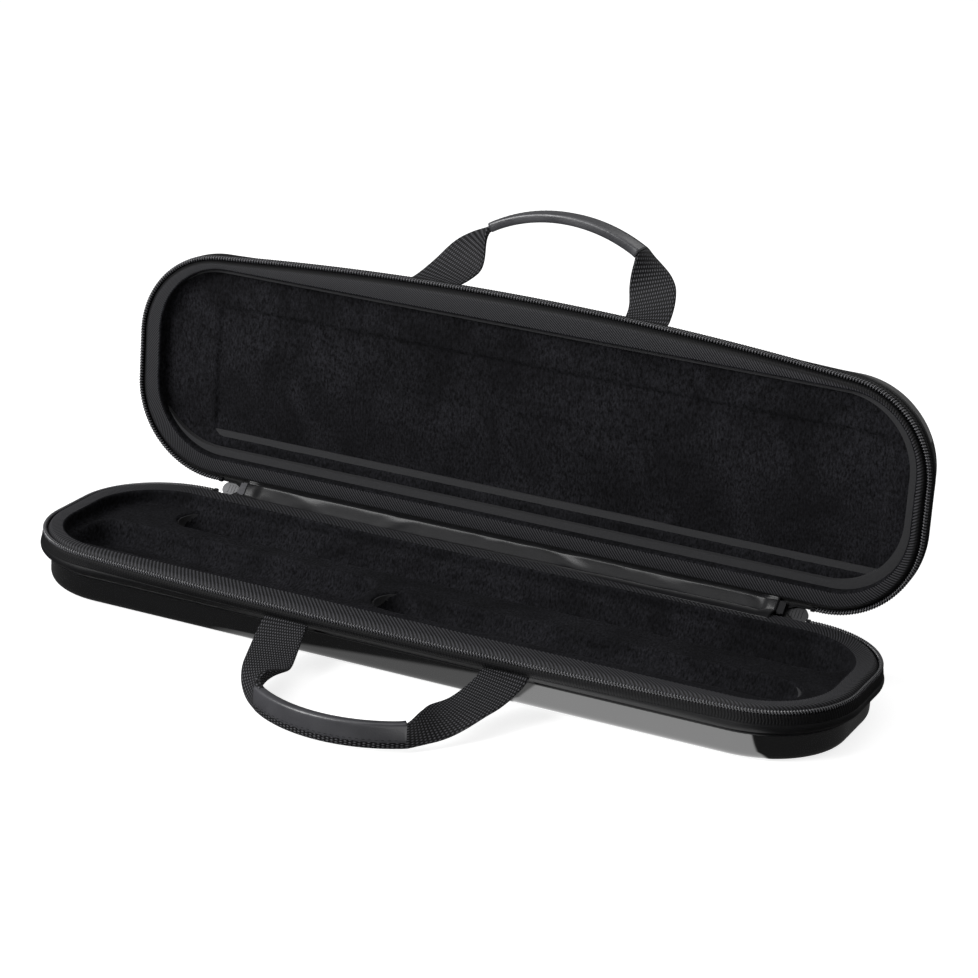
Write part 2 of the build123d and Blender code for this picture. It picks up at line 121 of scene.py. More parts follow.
def outline(shape, along, inset, bow=None):
    # point on the outline moved inwards by inset: straight runs, quarter circles, and a front of one long arc
    flat = shape["reach"] - shape["corner"]
    knots = np.concatenate([[0.0], np.cumsum(segmentLengths(shape))])
    distance = np.abs(along)
    share = [np.clip((distance - a) / (b - a), 0.0, 1.0) for a, b in zip(knots[:-1], knots[1:])]
    radius = shape["corner"] - inset
    bow = shape["bow"] if bow is None else bow
    bow = np.maximum(bow, 0.001)
    turn = 2.0 * np.arctan2(bow, flat)
    bowRadius = flat / np.sin(turn) + radius
    rearCentre = shape["rear"] - shape["corner"]
    frontCentre = shape["corner"] - shape["front"]
    frontAngle = turn * share[0]
    x = bowRadius * np.sin(frontAngle)
    y = frontCentre - radius - bow + bowRadius * (1.0 - np.cos(frontAngle))
    cornerAngle = turn + (math.pi / 2 - turn) * share[1]
    inCorner = distance > knots[1]
    x = np.where(inCorner, flat + radius * np.sin(cornerAngle), x)
    y = np.where(inCorner, frontCentre - radius * np.cos(cornerAngle), y)
    inEnd = distance > knots[2]
    x = np.where(inEnd, flat + radius, x)
    y = np.where(inEnd, frontCentre + (rearCentre - frontCentre) * share[2], y)
    rearAngle = math.pi / 2 * share[3]
    inRear = distance > knots[3]
    x = np.where(inRear, flat + radius * np.cos(rearAngle), x)
    y = np.where(inRear, rearCentre + radius * np.sin(rearAngle), y)
    x = np.where(distance > knots[4], flat * (1.0 - share[4]), x)
    return x * np.sign(along + 1e-12) + shape["shift"], y


def openLid(points):
    # the same point on the lid: turned over about the seam, then swung open about the hinge line
    back = points[..., 1] - hinge["y"]
    below = hinge["z"] - points[..., 2]
    cosine, sine = math.cos(hinge["open"]), math.sin(hinge["open"])
    return np.stack([
        points[..., 0],
        hinge["y"] + back * cosine + below * sine,
        hinge["z"] - back * sine + below * cosine,
    ], axis=-1)


def gridMesh(name, points, uv, flip=False, leaveOut=-1):
    # rows by columns of points joined by four-sided faces; points and uv come in millimetres
    rows, columns = points.shape[:2]
    bands = np.delete(np.arange(rows - 1), leaveOut) if leaveOut >= 0 else np.arange(rows - 1)
    i, j = np.meshgrid(bands, np.arange(columns - 1), indexing="ij")
    i, j = i.ravel(), j.ravel()
    corners = [(i, j), (i, j + 1), (i + 1, j + 1), (i + 1, j)]
    if flip:
        corners = corners[::-1]
    faces = np.stack([a * columns + b for a, b in corners], axis=1)
    mesh = bpy.data.meshes.new(name)
    mesh.from_pydata((points.reshape(-1, 3) * mm).tolist(), [], faces.tolist())
    layer = mesh.uv_layers.new(name="UVMap")
    corner = uv.reshape(-1, 2)[faces.ravel()]
    layer.data.foreach_set("uv", (corner * mm).astype(np.float32).ravel())
    mesh.polygons.foreach_set("use_smooth", np.ones(len(faces), bool))
    piece = bpy.data.objects.new(name, mesh)
    bpy.context.scene.collection.objects.link(piece)
    return piece


def mergeSeams(piece, distance=1e-6, closed=True):
    # joins the first and last columns, and the rows that meet on a centre line; closed forms then face outwards
    work = bmesh.new()
    work.from_mesh(piece.data)
    bmesh.ops.remove_doubles(work, verts=work.verts, dist=distance)
    bmesh.ops.dissolve_degenerate(work, edges=work.edges, dist=distance)
    if closed:
        bmesh.ops.recalc_face_normals(work, faces=work.faces)
    work.to_mesh(piece.data)
    work.free()
    return piece


def curveThrough(knots, steps):
    # smooth profile through the given points, as a Catmull-Rom curve
    knots = np.array(knots, float)
    padded = np.vstack([2 * knots[0] - knots[1], knots, 2 * knots[-1] - knots[-2]])
    t = np.linspace(0.0, 1.0, steps, endpoint=False)[:, None]
    runs = []
    for a, b, c, d in zip(padded[:-3], padded[1:-2], padded[2:-1], padded[3:]):
        runs.append(0.5 * (2 * b + (c - a) * t + (2 * a - 5 * b + 4 * c - d) * t**2
                           + (3 * b - a - 3 * c + d) * t**3))
    return np.vstack(runs + [knots[-1:]])


def profileLength(profile):
    # distance along a profile, for its texture
    steps = np.linalg.norm(np.diff(profile[:, :2], axis=0), axis=1)
    return np.concatenate([[0.0], np.cumsum(steps)])


def unit(vectors):
    return vectors / np.linalg.norm(vectors, axis=-1, keepdims=True)


def onBothHalves(name, make):
    # the same piece on the base, and turned over on the lid
    return [make(half + "_" + name, half) for half in ("base", "lid")]


def place(points, half):
    return openLid(points) if half == "lid" else points


print("shape functions ready")


# materials: colours are sRGB hex values, turned to linear once
def linear(hexColour):
    channels = [int(hexColour[k:k + 2], 16) / 255.0 for k in (1, 3, 5)]
    return tuple([c / 12.92 if c <= 0.04045 else ((c + 0.055) / 1.055) ** 2.4 for c in channels] + [1.0])


def addNode(tree, kind, settings=None, **links):
    # one node with its settings; a link or a value goes to the input of that name or number
    node = tree.nodes.new(kind)
    for key, value in (settings or {}).items():
        if isinstance(key, int) or key in node.inputs:
            node.inputs[key].default_value = value
        else:
            setattr(node, key, value)
    for key, source in links.items():
        socket = node.inputs[int(key[1:])] if key[0] == "i" and key[1:].isdigit() else node.inputs[key]
        tree.links.new(source, socket)
    return node


def newMaterial(name, colour, roughness, **shader):
    # principled surface with its constant values on its own sockets
    material = bpy.data.materials.new(name)
    material.use_nodes = True
    tree = material.node_tree
    surface = tree.nodes["Principled BSDF"]
    surface.inputs["Base Color"].default_value = linear(colour)
    surface.inputs["Roughness"].default_value = roughness
    names = {"metallic": "Metallic", "specular": "Specular IOR Level", "sheen": "Sheen Weight",
             "sheenRoughness": "Sheen Roughness", "coat": "Coat Weight", "coatRoughness": "Coat Roughness",
             "coatIor": "Coat IOR", "anisotropy": "Anisotropic"}
    for key, value in shader.items():
        if key == "sheenTint":
            surface.inputs["Sheen Tint"].default_value = linear(value)
        else:
            surface.inputs[names[key]].default_value = value
    return material, tree, surface


def scaledUv(tree, pitchU, pitchV, angle=0.0):
    # the piece's own UV map, in metres, counted in repeats of a real pitch in millimetres
    uvMap = addNode(tree, "ShaderNodeUVMap", {"uv_map": "UVMap"})
    return addNode(tree, "ShaderNodeMapping", {
        "Scale": (1.0 / (pitchU * mm), 1.0 / (pitchV * mm), 1.0),
        "Rotation": (0.0, 0.0, angle),
    }, Vector=uvMap.outputs["UV"])


def bumpFrom(tree, surface, height, distance, strength=1.0):
    # turns a height pattern into shading, with the relief in millimetres
    bump = addNode(tree, "ShaderNodeBump", {"Strength": strength, "Distance": distance * mm}, Height=height)
    tree.links.new(bump.outputs["Normal"], surface.inputs["Normal"])


def tintBy(tree, surface, factor, dark, light):
    # colour between two shades, by a pattern from 0 to 1
    mix = addNode(tree, "ShaderNodeMix", {"data_type": "RGBA"}, Factor=factor)
    mix.inputs[6].default_value = linear(dark)
    mix.inputs[7].default_value = linear(light)
    tree.links.new(mix.outputs[2], surface.inputs["Base Color"])


def wave(tree, vector, axis="X"):
    # sine from 0 to 1 along one axis, once per unit
    parts = addNode(tree, "ShaderNodeSeparateXYZ", Vector=vector)
    turns = addNode(tree, "ShaderNodeMath", {"operation": "MULTIPLY", 1: 2.0 * math.pi}, i0=parts.outputs[axis])
    sine = addNode(tree, "ShaderNodeMath", {"operation": "SINE"}, i0=turns.outputs[0])
    return addNode(tree, "ShaderNodeMath", {"operation": "MULTIPLY_ADD", 1: 0.5, 2: 0.5}, i0=sine.outputs[0])


def slantedRibs(tree, pitch, slope):
    # sine from 0 to 1 over the piece's UV map, once per pitch in millimetres, on lines that lean by slope
    uvMap = addNode(tree, "ShaderNodeUVMap", {"uv_map": "UVMap"})
    parts = addNode(tree, "ShaderNodeSeparateXYZ", Vector=uvMap.outputs["UV"])
    lean = addNode(tree, "ShaderNodeMath", {"operation": "MULTIPLY_ADD", 1: slope}, i0=parts.outputs["Y"],
                   i2=parts.outputs["X"])
    turns = addNode(tree, "ShaderNodeMath", {"operation": "MULTIPLY", 1: 2.0 * math.pi / (pitch * mm)},
                    i0=lean.outputs[0])
    sine = addNode(tree, "ShaderNodeMath", {"operation": "SINE"}, i0=turns.outputs[0])
    level = addNode(tree, "ShaderNodeMath", {"operation": "MULTIPLY_ADD", 1: 0.5, 2: 0.5}, i0=sine.outputs[0])
    return level, parts


def glossyAbs():
    # moulded ABS with a polished skin: a clear reflection with a faint orange peel of about 6 mm
    material, tree, surface = newMaterial("glossyAbs", "#060607", 0.09, specular=1.0, coat=1.0, coatRoughness=0.03,
                                          coatIor=1.8)
    where = addNode(tree, "ShaderNodeTexCoord")
    peel = addNode(tree, "ShaderNodeTexNoise", {"Scale": 160.0, "Detail": 1.0}, Vector=where.outputs["Object"])
    scuffs = addNode(tree, "ShaderNodeTexNoise", {"Scale": 45.0, "Detail": 6.0}, Vector=where.outputs["Object"])
    spread = addNode(tree, "ShaderNodeMapRange", {1: 0.35, 2: 0.8, 3: 0.07, 4: 0.16}, i0=scuffs.outputs["Fac"])
    tree.links.new(spread.outputs[0], surface.inputs["Roughness"])
    bumpFrom(tree, surface, peel.outputs["Fac"], 0.012)
    return material


def wovenTape(name, dark, light, pitch, relief, roughness):
    # flat woven polyester tape: crossing threads, painted lighter where they cross as a painted highlight, with slow
    # random changes of tone along the tape
    material, tree, surface = newMaterial(name, dark, roughness, specular=0.2, sheen=0.02, sheenRoughness=0.4)
    uv = scaledUv(tree, pitch, pitch)
    across = wave(tree, uv.outputs["Vector"], "X")
    along = wave(tree, uv.outputs["Vector"], "Y")
    weave = addNode(tree, "ShaderNodeMath", {"operation": "MULTIPLY"}, i0=across.outputs[0], i1=along.outputs[0])
    slow = addNode(tree, "ShaderNodeTexNoise", {"Scale": 0.12, "Detail": 4.0}, Vector=uv.outputs["Vector"])
    tone = addNode(tree, "ShaderNodeMath", {"operation": "MULTIPLY_ADD", 2: 0.0}, i0=weave.outputs[0],
                   i1=slow.outputs["Fac"])
    # painted highlight on the weave's crossings, times a slow random tone
    tintBy(tree, surface, tone.outputs[0], dark, light)
    bumpFrom(tree, surface, weave.outputs[0], relief)
    return material


def nylonCoil():
    # drawn nylon line, black, with painted shade between its turns of 1.6 mm and a painted highlight on each turn's
    # crest
    material, tree, surface = newMaterial("nylonCoil", "#101012", 0.25, specular=0.6)
    turns, parts = slantedRibs(tree, 1.6, 0.2)
    sharp = addNode(tree, "ShaderNodeMath", {"operation": "POWER", 1: 4.0}, i0=turns.outputs[0])
    # painted highlight on each turn and painted shade between the turns
    tintBy(tree, surface, sharp.outputs[0], "#020203", "#606064")
    bumpFrom(tree, surface, turns.outputs[0], 0.15)
    return material


def herringboneTwill():
    # polyester twill: slanted ribs 2.3 mm apart are in the mesh, with a painted highlight on each crest and painted
    # shade between, and fine threads painted lighter; the first 3 mm are plain tape without the painted rib highlight
    material, tree, surface = newMaterial("herringboneTwill", "#0c0c0e", 0.6, specular=0.25, sheen=0.04,
                                          sheenRoughness=0.35)
    ribs, parts = slantedRibs(tree, 2.3, 0.0)
    threads, _ = slantedRibs(tree, 0.6, -0.8)
    plain = addNode(tree, "ShaderNodeMapRange", {"interpolation_type": "SMOOTHSTEP", 1: 2.2 * mm, 2: 3.6 * mm,
                                                 3: 0.12, 4: 1.0}, i0=parts.outputs["Y"])
    crest = addNode(tree, "ShaderNodeMath", {"operation": "POWER", 1: 1.6}, i0=ribs.outputs[0])
    tone = addNode(tree, "ShaderNodeMath", {"operation": "MULTIPLY"}, i0=crest.outputs[0], i1=plain.outputs[0])
    woven = addNode(tree, "ShaderNodeMapRange", {3: 0.55, 4: 1.0}, i0=threads.outputs[0])
    level = addNode(tree, "ShaderNodeMath", {"operation": "MULTIPLY"}, i0=tone.outputs[0], i1=woven.outputs[0])
    # painted highlight on rib crests and fine threads, painted shade in the grooves between
    tintBy(tree, surface, level.outputs[0], "#060607", "#48484c")
    bumpFrom(tree, surface, threads.outputs[0], 0.06)
    return material


def plushPile():
    # knitted plush: a deep black pile that catches light at its edges, brushed in patches with a short grain
    material, tree, surface = newMaterial("plushPile", "#050506", 0.95, specular=0.1, sheen=0.03,
                                          sheenRoughness=0.32, sheenTint="#8a8a90")
    where = addNode(tree, "ShaderNodeTexCoord")
    strands = addNode(tree, "ShaderNodeMapping", {"Scale": (1.0, 0.5, 0.5)}, Vector=where.outputs["Object"])
    fibre = addNode(tree, "ShaderNodeTexNoise", {"Scale": 1000.0, "Detail": 4.0, "Roughness": 0.7},
                    Vector=strands.outputs["Vector"])
    patch = addNode(tree, "ShaderNodeTexNoise", {"Scale": 28.0, "Detail": 4.0, "Roughness": 0.6, "Distortion": 0.8},
                    Vector=where.outputs["Object"])
    patchLevel = addNode(tree, "ShaderNodeMapRange", {1: 0.35, 2: 0.65, 3: 0.4, 4: 1.0}, i0=patch.outputs["Fac"])
    fibreLevel = addNode(tree, "ShaderNodeMapRange", {1: 0.35, 2: 0.68, 3: 0.0, 4: 1.0}, i0=fibre.outputs["Fac"])
    tone = addNode(tree, "ShaderNodeMath", {"operation": "MULTIPLY"}, i0=fibreLevel.outputs[0],
                   i1=patchLevel.outputs[0])
    tintBy(tree, surface, tone.outputs[0], "#060607", "#29292d")
    bumpFrom(tree, surface, fibre.outputs["Fac"], 0.4, 0.8)
    return material


def satinWeave():
    # satin lining cloth: long floats that shine across the strip, thread pitch 0.3 mm drawn at 0.6 mm
    material, tree, surface = newMaterial("satinWeave", "#0d0d0f", 0.4, specular=0.45, sheen=0.12,
                                          sheenRoughness=0.3, anisotropy=0.5)
    uv = scaledUv(tree, 0.6, 2.4)
    thread = wave(tree, uv.outputs["Vector"], "X")
    slow = addNode(tree, "ShaderNodeTexNoise", {"Scale": 0.05, "Detail": 3.0}, Vector=uv.outputs["Vector"])
    tintBy(tree, surface, slow.outputs["Fac"], "#09090a", "#19191c")
    bumpFrom(tree, surface, thread.outputs[0], 0.03)
    return material


def dottedWebbing():
    # polypropylene webbing: picks 2.2 mm apart make rows of raised dots, each row shifted by half a dot; the dots are
    # painted lighter, a painted highlight on the black webbing
    material, tree, surface = newMaterial("dottedWebbing", "#101012", 0.6, specular=0.2)
    uv = scaledUv(tree, 2.2, 1.3)
    parts = addNode(tree, "ShaderNodeSeparateXYZ", Vector=uv.outputs["Vector"])
    row = addNode(tree, "ShaderNodeMath", {"operation": "FLOOR"}, i0=parts.outputs["X"])
    half = addNode(tree, "ShaderNodeMath", {"operation": "MULTIPLY", 1: 0.5}, i0=row.outputs[0])
    shifted = addNode(tree, "ShaderNodeMath", {"operation": "ADD"}, i0=parts.outputs["Y"], i1=half.outputs[0])
    joined = addNode(tree, "ShaderNodeCombineXYZ", X=parts.outputs["X"], Y=shifted.outputs[0])
    across = wave(tree, joined.outputs[0], "Y")
    picks = addNode(tree, "ShaderNodeMath", {"operation": "PINGPONG", 1: 0.5}, i0=parts.outputs["X"])
    dots = addNode(tree, "ShaderNodeMath", {"operation": "MULTIPLY"}, i0=across.outputs[0], i1=picks.outputs[0])
    level = addNode(tree, "ShaderNodeMath", {"operation": "MULTIPLY", 1: 2.0}, i0=dots.outputs[0])
    sharp = addNode(tree, "ShaderNodeMath", {"operation": "POWER", 1: 1.5}, i0=level.outputs[0])
    # painted highlight on the raised dots, painted shade between them
    tintBy(tree, surface, sharp.outputs[0], "#050506", "#66666a")
    bumpFrom(tree, surface, level.outputs[0], 0.3)
    return material


def sewingThread():
    # waxed polyester thread, matt black, its twist a fleck of about 0.5 mm
    material, tree, surface = newMaterial("sewingThread", "#0e0e10", 0.5, specular=0.35)
    where = addNode(tree, "ShaderNodeTexCoord")
    fleck = addNode(tree, "ShaderNodeTexNoise", {"Scale": 2000.0, "Detail": 2.0}, Vector=where.outputs["Object"])
    tintBy(tree, surface, fleck.outputs["Fac"], "#080809", "#1c1c1f")
    return material


def leatherette():
    # vinyl-coated cloth: dark grey, a fine pebbled grain of about 0.8 mm and a soft shine
    material, tree, surface = newMaterial("leatherette", "#38383b", 0.36, specular=0.85)
    where = addNode(tree, "ShaderNodeTexCoord")
    pebble = addNode(tree, "ShaderNodeTexVoronoi", {"Scale": 1100.0}, Vector=where.outputs["Object"])
    cloudy = addNode(tree, "ShaderNodeTexNoise", {"Scale": 60.0, "Detail": 4.0}, Vector=where.outputs["Object"])
    tintBy(tree, surface, cloudy.outputs["Fac"], "#2c2c2f", "#454549")
    spread = addNode(tree, "ShaderNodeMapRange", {1: 0.3, 2: 0.7, 3: 0.3, 4: 0.46}, i0=cloudy.outputs["Fac"])
    tree.links.new(spread.outputs[0], surface.inputs["Roughness"])
    bumpFrom(tree, surface, pebble.outputs["Distance"], 0.05)
    return material


def paintedZinc(name, dark, light):
    # die-cast zinc with enamel, worn a little at the high spots
    material, tree, surface = newMaterial(name, dark, 0.45, specular=0.2)
    where = addNode(tree, "ShaderNodeTexCoord")
    speckle = addNode(tree, "ShaderNodeTexNoise", {"Scale": 700.0, "Detail": 4.0}, Vector=where.outputs["Object"])
    tintBy(tree, surface, speckle.outputs["Fac"], dark, light)
    bumpFrom(tree, surface, speckle.outputs["Fac"], 0.02)
    return material


def brushedSteel():
    # drawn steel wire: fine lines round the pin
    material, tree, surface = newMaterial("brushedSteel", "#8c8c90", 0.32, metallic=1.0)
    where = addNode(tree, "ShaderNodeTexCoord")
    lines = addNode(tree, "ShaderNodeTexNoise", {"Scale": 2500.0, "Detail": 2.0}, Vector=where.outputs["Object"])
    spread = addNode(tree, "ShaderNodeMapRange", {1: 0.3, 2: 0.7, 3: 0.26, 4: 0.42}, i0=lines.outputs["Fac"])
    tree.links.new(spread.outputs[0], surface.inputs["Roughness"])
    return material


def mouldedRubber(name, dark, light):
    # injection-moulded soft PVC: matt, with a very fine mould grain and a little dust in its low spots
    material, tree, surface = newMaterial(name, dark, 0.55, specular=0.45)
    where = addNode(tree, "ShaderNodeTexCoord")
    grain = addNode(tree, "ShaderNodeTexNoise", {"Scale": 1400.0, "Detail": 3.0}, Vector=where.outputs["Object"])
    cloudy = addNode(tree, "ShaderNodeTexNoise", {"Scale": 180.0, "Detail": 3.0}, Vector=where.outputs["Object"])
    tintBy(tree, surface, cloudy.outputs["Fac"], dark, light)
    bumpFrom(tree, surface, grain.outputs["Fac"], 0.03)
    return material


def foamBlock():
    # closed-cell foam, seen only where the plush ends
    material, tree, surface = newMaterial("foamBlock", "#2a2a2c", 0.9)
    where = addNode(tree, "ShaderNodeTexCoord")
    cells = addNode(tree, "ShaderNodeTexVoronoi", {"Scale": 900.0}, Vector=where.outputs["Object"])
    bumpFrom(tree, surface, cells.outputs["Distance"], 0.1)
    return material


finish = {
    "shell": glossyAbs(),
    "zipTape": wovenTape("zipTape", "#070708", "#1e1e21", 0.8, 0.08, 0.6),
    "bandTape": wovenTape("bandTape", "#080809", "#222225", 0.7, 0.06, 0.5),
    "binding": wovenTape("bindingTape", "#09090a", "#26262a", 0.6, 0.05, 0.4),
    "coil": nylonCoil(),
    "twill": herringboneTwill(),
    "plush": plushPile(),
    "satin": satinWeave(),
    "webbing": dottedWebbing(),
    "leatherette": leatherette(),
    "thread": sewingThread(),
    "zincBlack": paintedZinc("paintedZincBlack", "#08080a", "#18181b"),
    "zincGrey": paintedZinc("paintedZincGrey", "#3c3c3f", "#5a5a5d"),
    "steel": brushedSteel(),
    "pullGrey": mouldedRubber("mouldedRubberGrey", "#5a5a5c", "#7c7c7e"),
    "pullBlack": mouldedRubber("mouldedRubberBlack", "#151517", "#2c2c2f"),
    "foam": foamBlock(),
}
print("materials ready")


def dress(piece, material, body, slot, *nodes):
    # gives a new piece its material and body, and hides the nodes that it stands for; the slot is not used
    piece.data.materials.clear()
    piece.data.materials.append(finish[material])
    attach(piece, body)
    if nodes:
        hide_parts(*nodes)
    return piece


# moulded shells: vertical walls, a rolled bottom edge, and a thin lip inside
shellForm = {"inset": 4.6, "wall": 2.0, "floor": 2.2, "roll": 5.0, "innerRoll": 4.0, "spacing": 3.0}


def makeShell(name, half):
    # outline carried down a wall profile with a quarter-circle roll, to a centre line under the floor
    form = shellForm
    angle = np.linspace(0.0, math.pi / 2, 15)
    outer = [[form["inset"], seam["shellTop"] - 0.4], [form["inset"], 20.0], [form["inset"], 14.0]]
    roll = np.stack([form["inset"] + form["roll"] * (1 - np.cos(angle)), form["roll"] * (1 - np.sin(angle))], 1)
    under = [[20.0, 0.0], [34.0, 0.0], [49.5, 0.0], [63.3, 0.0]]
    inner = form["inset"] + form["wall"]
    innerRoll = np.stack([inner + form["innerRoll"] * (1 - np.cos(angle)),
                          form["floor"] + form["innerRoll"] * (1 - np.sin(angle))], 1)[::-1]
    lining = [[63.3, form["floor"]], [49.5, form["floor"]], [30.0, form["floor"]]]
    lip = [[inner, 14.0], [inner, seam["shellTop"] - 0.4], [inner - 0.4, seam["shellTop"]],
           [form["inset"] + 0.4, seam["shellTop"]]]
    profile = np.vstack([outer, roll, under, lining, innerRoll, lip, outer[:1]])
    # the wall has no bow, and its front and rear points then meet on the centre line
    straightRim = dict(rimShape, bow=0.0)
    along = outlineSteps(straightRim, form["spacing"])
    inset = np.minimum(profile[:, :1], rimShape["corner"] - 0.001)
    x, y = outline(straightRim, along[None, :], inset)
    squeeze = np.clip((profile[:, :1] - 49.5) / (63.3 - 49.5), 0.0, 1.0)
    y = y * (1.0 - squeeze)
    points = np.stack([x, y, np.broadcast_to(profile[:, 1:], x.shape)], axis=-1)
    uv = np.stack([np.broadcast_to(along, x.shape), np.broadcast_to(profileLength(profile)[:, None], x.shape)], -1)
    # outer and inner skin both end on the centre line, with no wall between them there
    centreBand = len(outer) + len(roll) + len(under) - 1
    piece = mergeSeams(gridMesh(name, place(points, half), uv, leaveOut=centreBand), 1e-5)
    return dress(piece, "shell", half, "moulded_shell", half + "_shell")


onBothHalves("moulded_shell", makeShell)
print("shells made")


# zip: ribbed tape and coil rows round three sides
zipForm = {"pitch": 1.6, "columns": 5, "coilCentre": (1.1, 27.4), "coilRadius": (1.0, 1.1), "loop": 0.26,
           "rib": 0.16}
tapeProfile = [(1.7, 26.2), (0.9, 26.6), (0.2, 26.0), (-0.15, 24.6), (-0.35, 22.9), (-0.5, 21.5), (-0.3, 20.9),
               (0.6, 20.9), (2.2, 22.5), (2.6, 24.6)]
bandProfile = [(0.1, 21.7), (-0.6, 21.5), (-1.05, 20.7), (-1.15, 19.6), (-0.85, 18.4), (0.1, 17.2), (1.6, 16.2),
               (3.2, 15.5), (4.3, 15.3), (4.55, 16.4), (3.6, 18.4), (2.0, 20.6)]
pipingForm = {"centre": (4.15, 14.75), "radius": 0.95}
# on the lid the band is pulled in by the cloth, and the coil stands out past it
drawnIn = {"base": 0.0, "lid": 1.5}


def bowAt(height):
    # the bow fades from the zip line down to the straight shell wall
    return rimShape["bow"] * smoothStep((height - 15.5) / (24.5 - 15.5))


def sweptRing(name, profile, half, along, lift=None, closed=True):
    # closed profile of inset and height carried round the outline; lift moves each point along inset and height
    inset = np.broadcast_to(profile[:, :1], (len(profile), len(along)))
    height = np.broadcast_to(profile[:, 1:2], inset.shape)
    bow = bowAt(profile[:, 1:2])
    drawn = drawnIn[half] * smoothStep((height - 14.5) / 4.0) * smoothStep((25.6 - height) / 3.0)
    inset = inset + drawn
    if lift is not None:
        inset, height = inset + lift[0], height + lift[1]
    x, y = outline(rimShape, along[None, :], inset, bow)
    points = np.stack([x, y, height], axis=-1)
    if closed:
        points[:, -1] = points[:, 0]
    uv = np.stack([np.broadcast_to(along, x.shape), np.broadcast_to(profileLength(profile)[:, None], x.shape)], -1)
    piece = gridMesh(name, place(points, half), uv)
    return mergeSeams(piece) if closed else piece


def capEnds(piece):
    # closes the two cut ends of a swept row
    work = bmesh.new()
    work.from_mesh(piece.data)
    bmesh.ops.remove_doubles(work, verts=work.verts, dist=1e-6)
    bmesh.ops.holes_fill(work, edges=[e for e in work.edges if e.is_boundary], sides=0)
    bmesh.ops.recalc_face_normals(work, faces=work.faces)
    work.to_mesh(piece.data)
    work.free()
    return piece


def outwardOf(profile):
    # unit direction out of a closed profile, at each of its points
    ahead = np.roll(profile[:-1], -1, axis=0) - np.roll(profile[:-1], 1, axis=0)
    normal = np.stack([ahead[:, 1], -ahead[:, 0]], axis=1)
    normal /= np.linalg.norm(normal, axis=1)[:, None]
    centre = profile[:-1].mean(axis=0)
    if np.sum((profile[:-1] - centre) * normal) < 0:
        normal = -normal
    return np.vstack([normal, normal[:1]])


def makeCoil(name, half):
    # bead whose radius rises and falls once per tooth, with the loops slanted round the bead
    form = zipForm
    angle = np.linspace(0.0, 2 * math.pi, 13)
    (centreIn, centreUp), (radiusIn, radiusUp) = form["coilCentre"], form["coilRadius"]
    profile = np.stack([centreIn - radiusIn * np.cos(angle), centreUp + radiusUp * np.sin(angle)], 1)
    along = outlineSteps(rimShape, form["pitch"] / form["columns"], hinge["notchEnd"])
    phase = 2 * math.pi * (along[None, :] / form["pitch"] + 0.25) + angle[:, None]
    swell = form["loop"] * (np.abs(np.sin(phase / 2)) * 2.0 - 1.2)
    lift = (-swell * np.cos(angle)[:, None], swell * np.sin(angle)[:, None])
    piece = sweptRing(name, profile, half, along, lift, closed=False)
    return dress(capEnds(piece), "coil", half, "zip_coil", half + "_zip_coil")


def makeZipTape(name, half):
    # tape under the coil, with one stitched rib per tooth on its outer face
    form = zipForm
    profile = curveThrough(tapeProfile + tapeProfile[:1], 3)
    along = outlineSteps(rimShape, form["pitch"] / 4)
    outward = outwardOf(profile)
    shown = smoothStep((1.2 - profile[:, :1]) / 0.8) * smoothStep((profile[:, 1:2] - 21.0) / 0.8)
    slant = profile[:, 1:2] * 0.35
    rib = form["rib"] * np.sin(2 * math.pi * (along[None, :] + slant) / form["pitch"]) * shown
    # along the rear it stays clear of the hinge line, where slider and strips turn
    fromRear = np.sum(segmentLengths(rimShape)) - np.abs(along[None, :])
    cap = 24.3 + 1.4 * smoothStep((profile[:, :1] - 1.3) / 1.0) + 3.0 * smoothStep((fromRear - hinge["notchEnd"]) / 2.0)
    lift = (outward[:, :1] * rib, np.minimum(outward[:, 1:] * rib, cap - profile[:, 1:2]))
    piece = sweptRing(name, profile, half, along, lift)
    return dress(piece, "zipTape", half, "tape_band")


def makeBand(name, half):
    # smooth tape band that bulges between the zip and the piping
    profile = curveThrough(bandProfile + bandProfile[:1], 3)
    along = outlineSteps(rimShape, 2.0)
    ripple = 0.12 * hashNoise(along[None, :] / 14.0, profile[:, 1:2] / 3.0, 3.0)
    outward = outwardOf(profile)
    piece = sweptRing(name, profile, half, along, (outward[:, :1] * ripple, outward[:, 1:] * ripple))
    return dress(piece, "bandTape", half, "tape_band", half + "_band")


def makePiping(name, half):
    # round cord in a folded tape, sewn where the band meets the shell
    angle = np.linspace(0.0, 2 * math.pi, 13)
    (centreIn, centreUp), radius = pipingForm["centre"], pipingForm["radius"]
    profile = np.stack([centreIn - radius * np.cos(angle), centreUp + radius * np.sin(angle)], 1)
    along = outlineSteps(rimShape, 1.6)
    swell = 0.06 * np.sin(2 * math.pi * along[None, :] / 3.2)
    lift = (-swell * np.cos(angle)[:, None], swell * np.sin(angle)[:, None])
    piece = sweptRing(name, profile, half, along, lift)
    return dress(piece, "binding", half, "edge_binding", half + "_welt")


onBothHalves("coil_row", makeCoil)
onBothHalves("zip_tape", makeZipTape)
onBothHalves("tape_band_ring", makeBand)
onBothHalves("piping", makePiping)
print("zip rows and bands made")


# twill ring from the coil row up to the plush
twillForm = {"spacing": 0.42, "rows": 26, "ribPitch": {"base": 2.3, "lid": 1.7},
             "lean": {"base": 0.9, "lid": 1.0}, "relief": 0.2, "edge": 25.9, "rise": 3.1,
             "plain": 0.3, "crown": 0.3, "ribsFrom": {"base": 0.04, "lid": 0.14}}


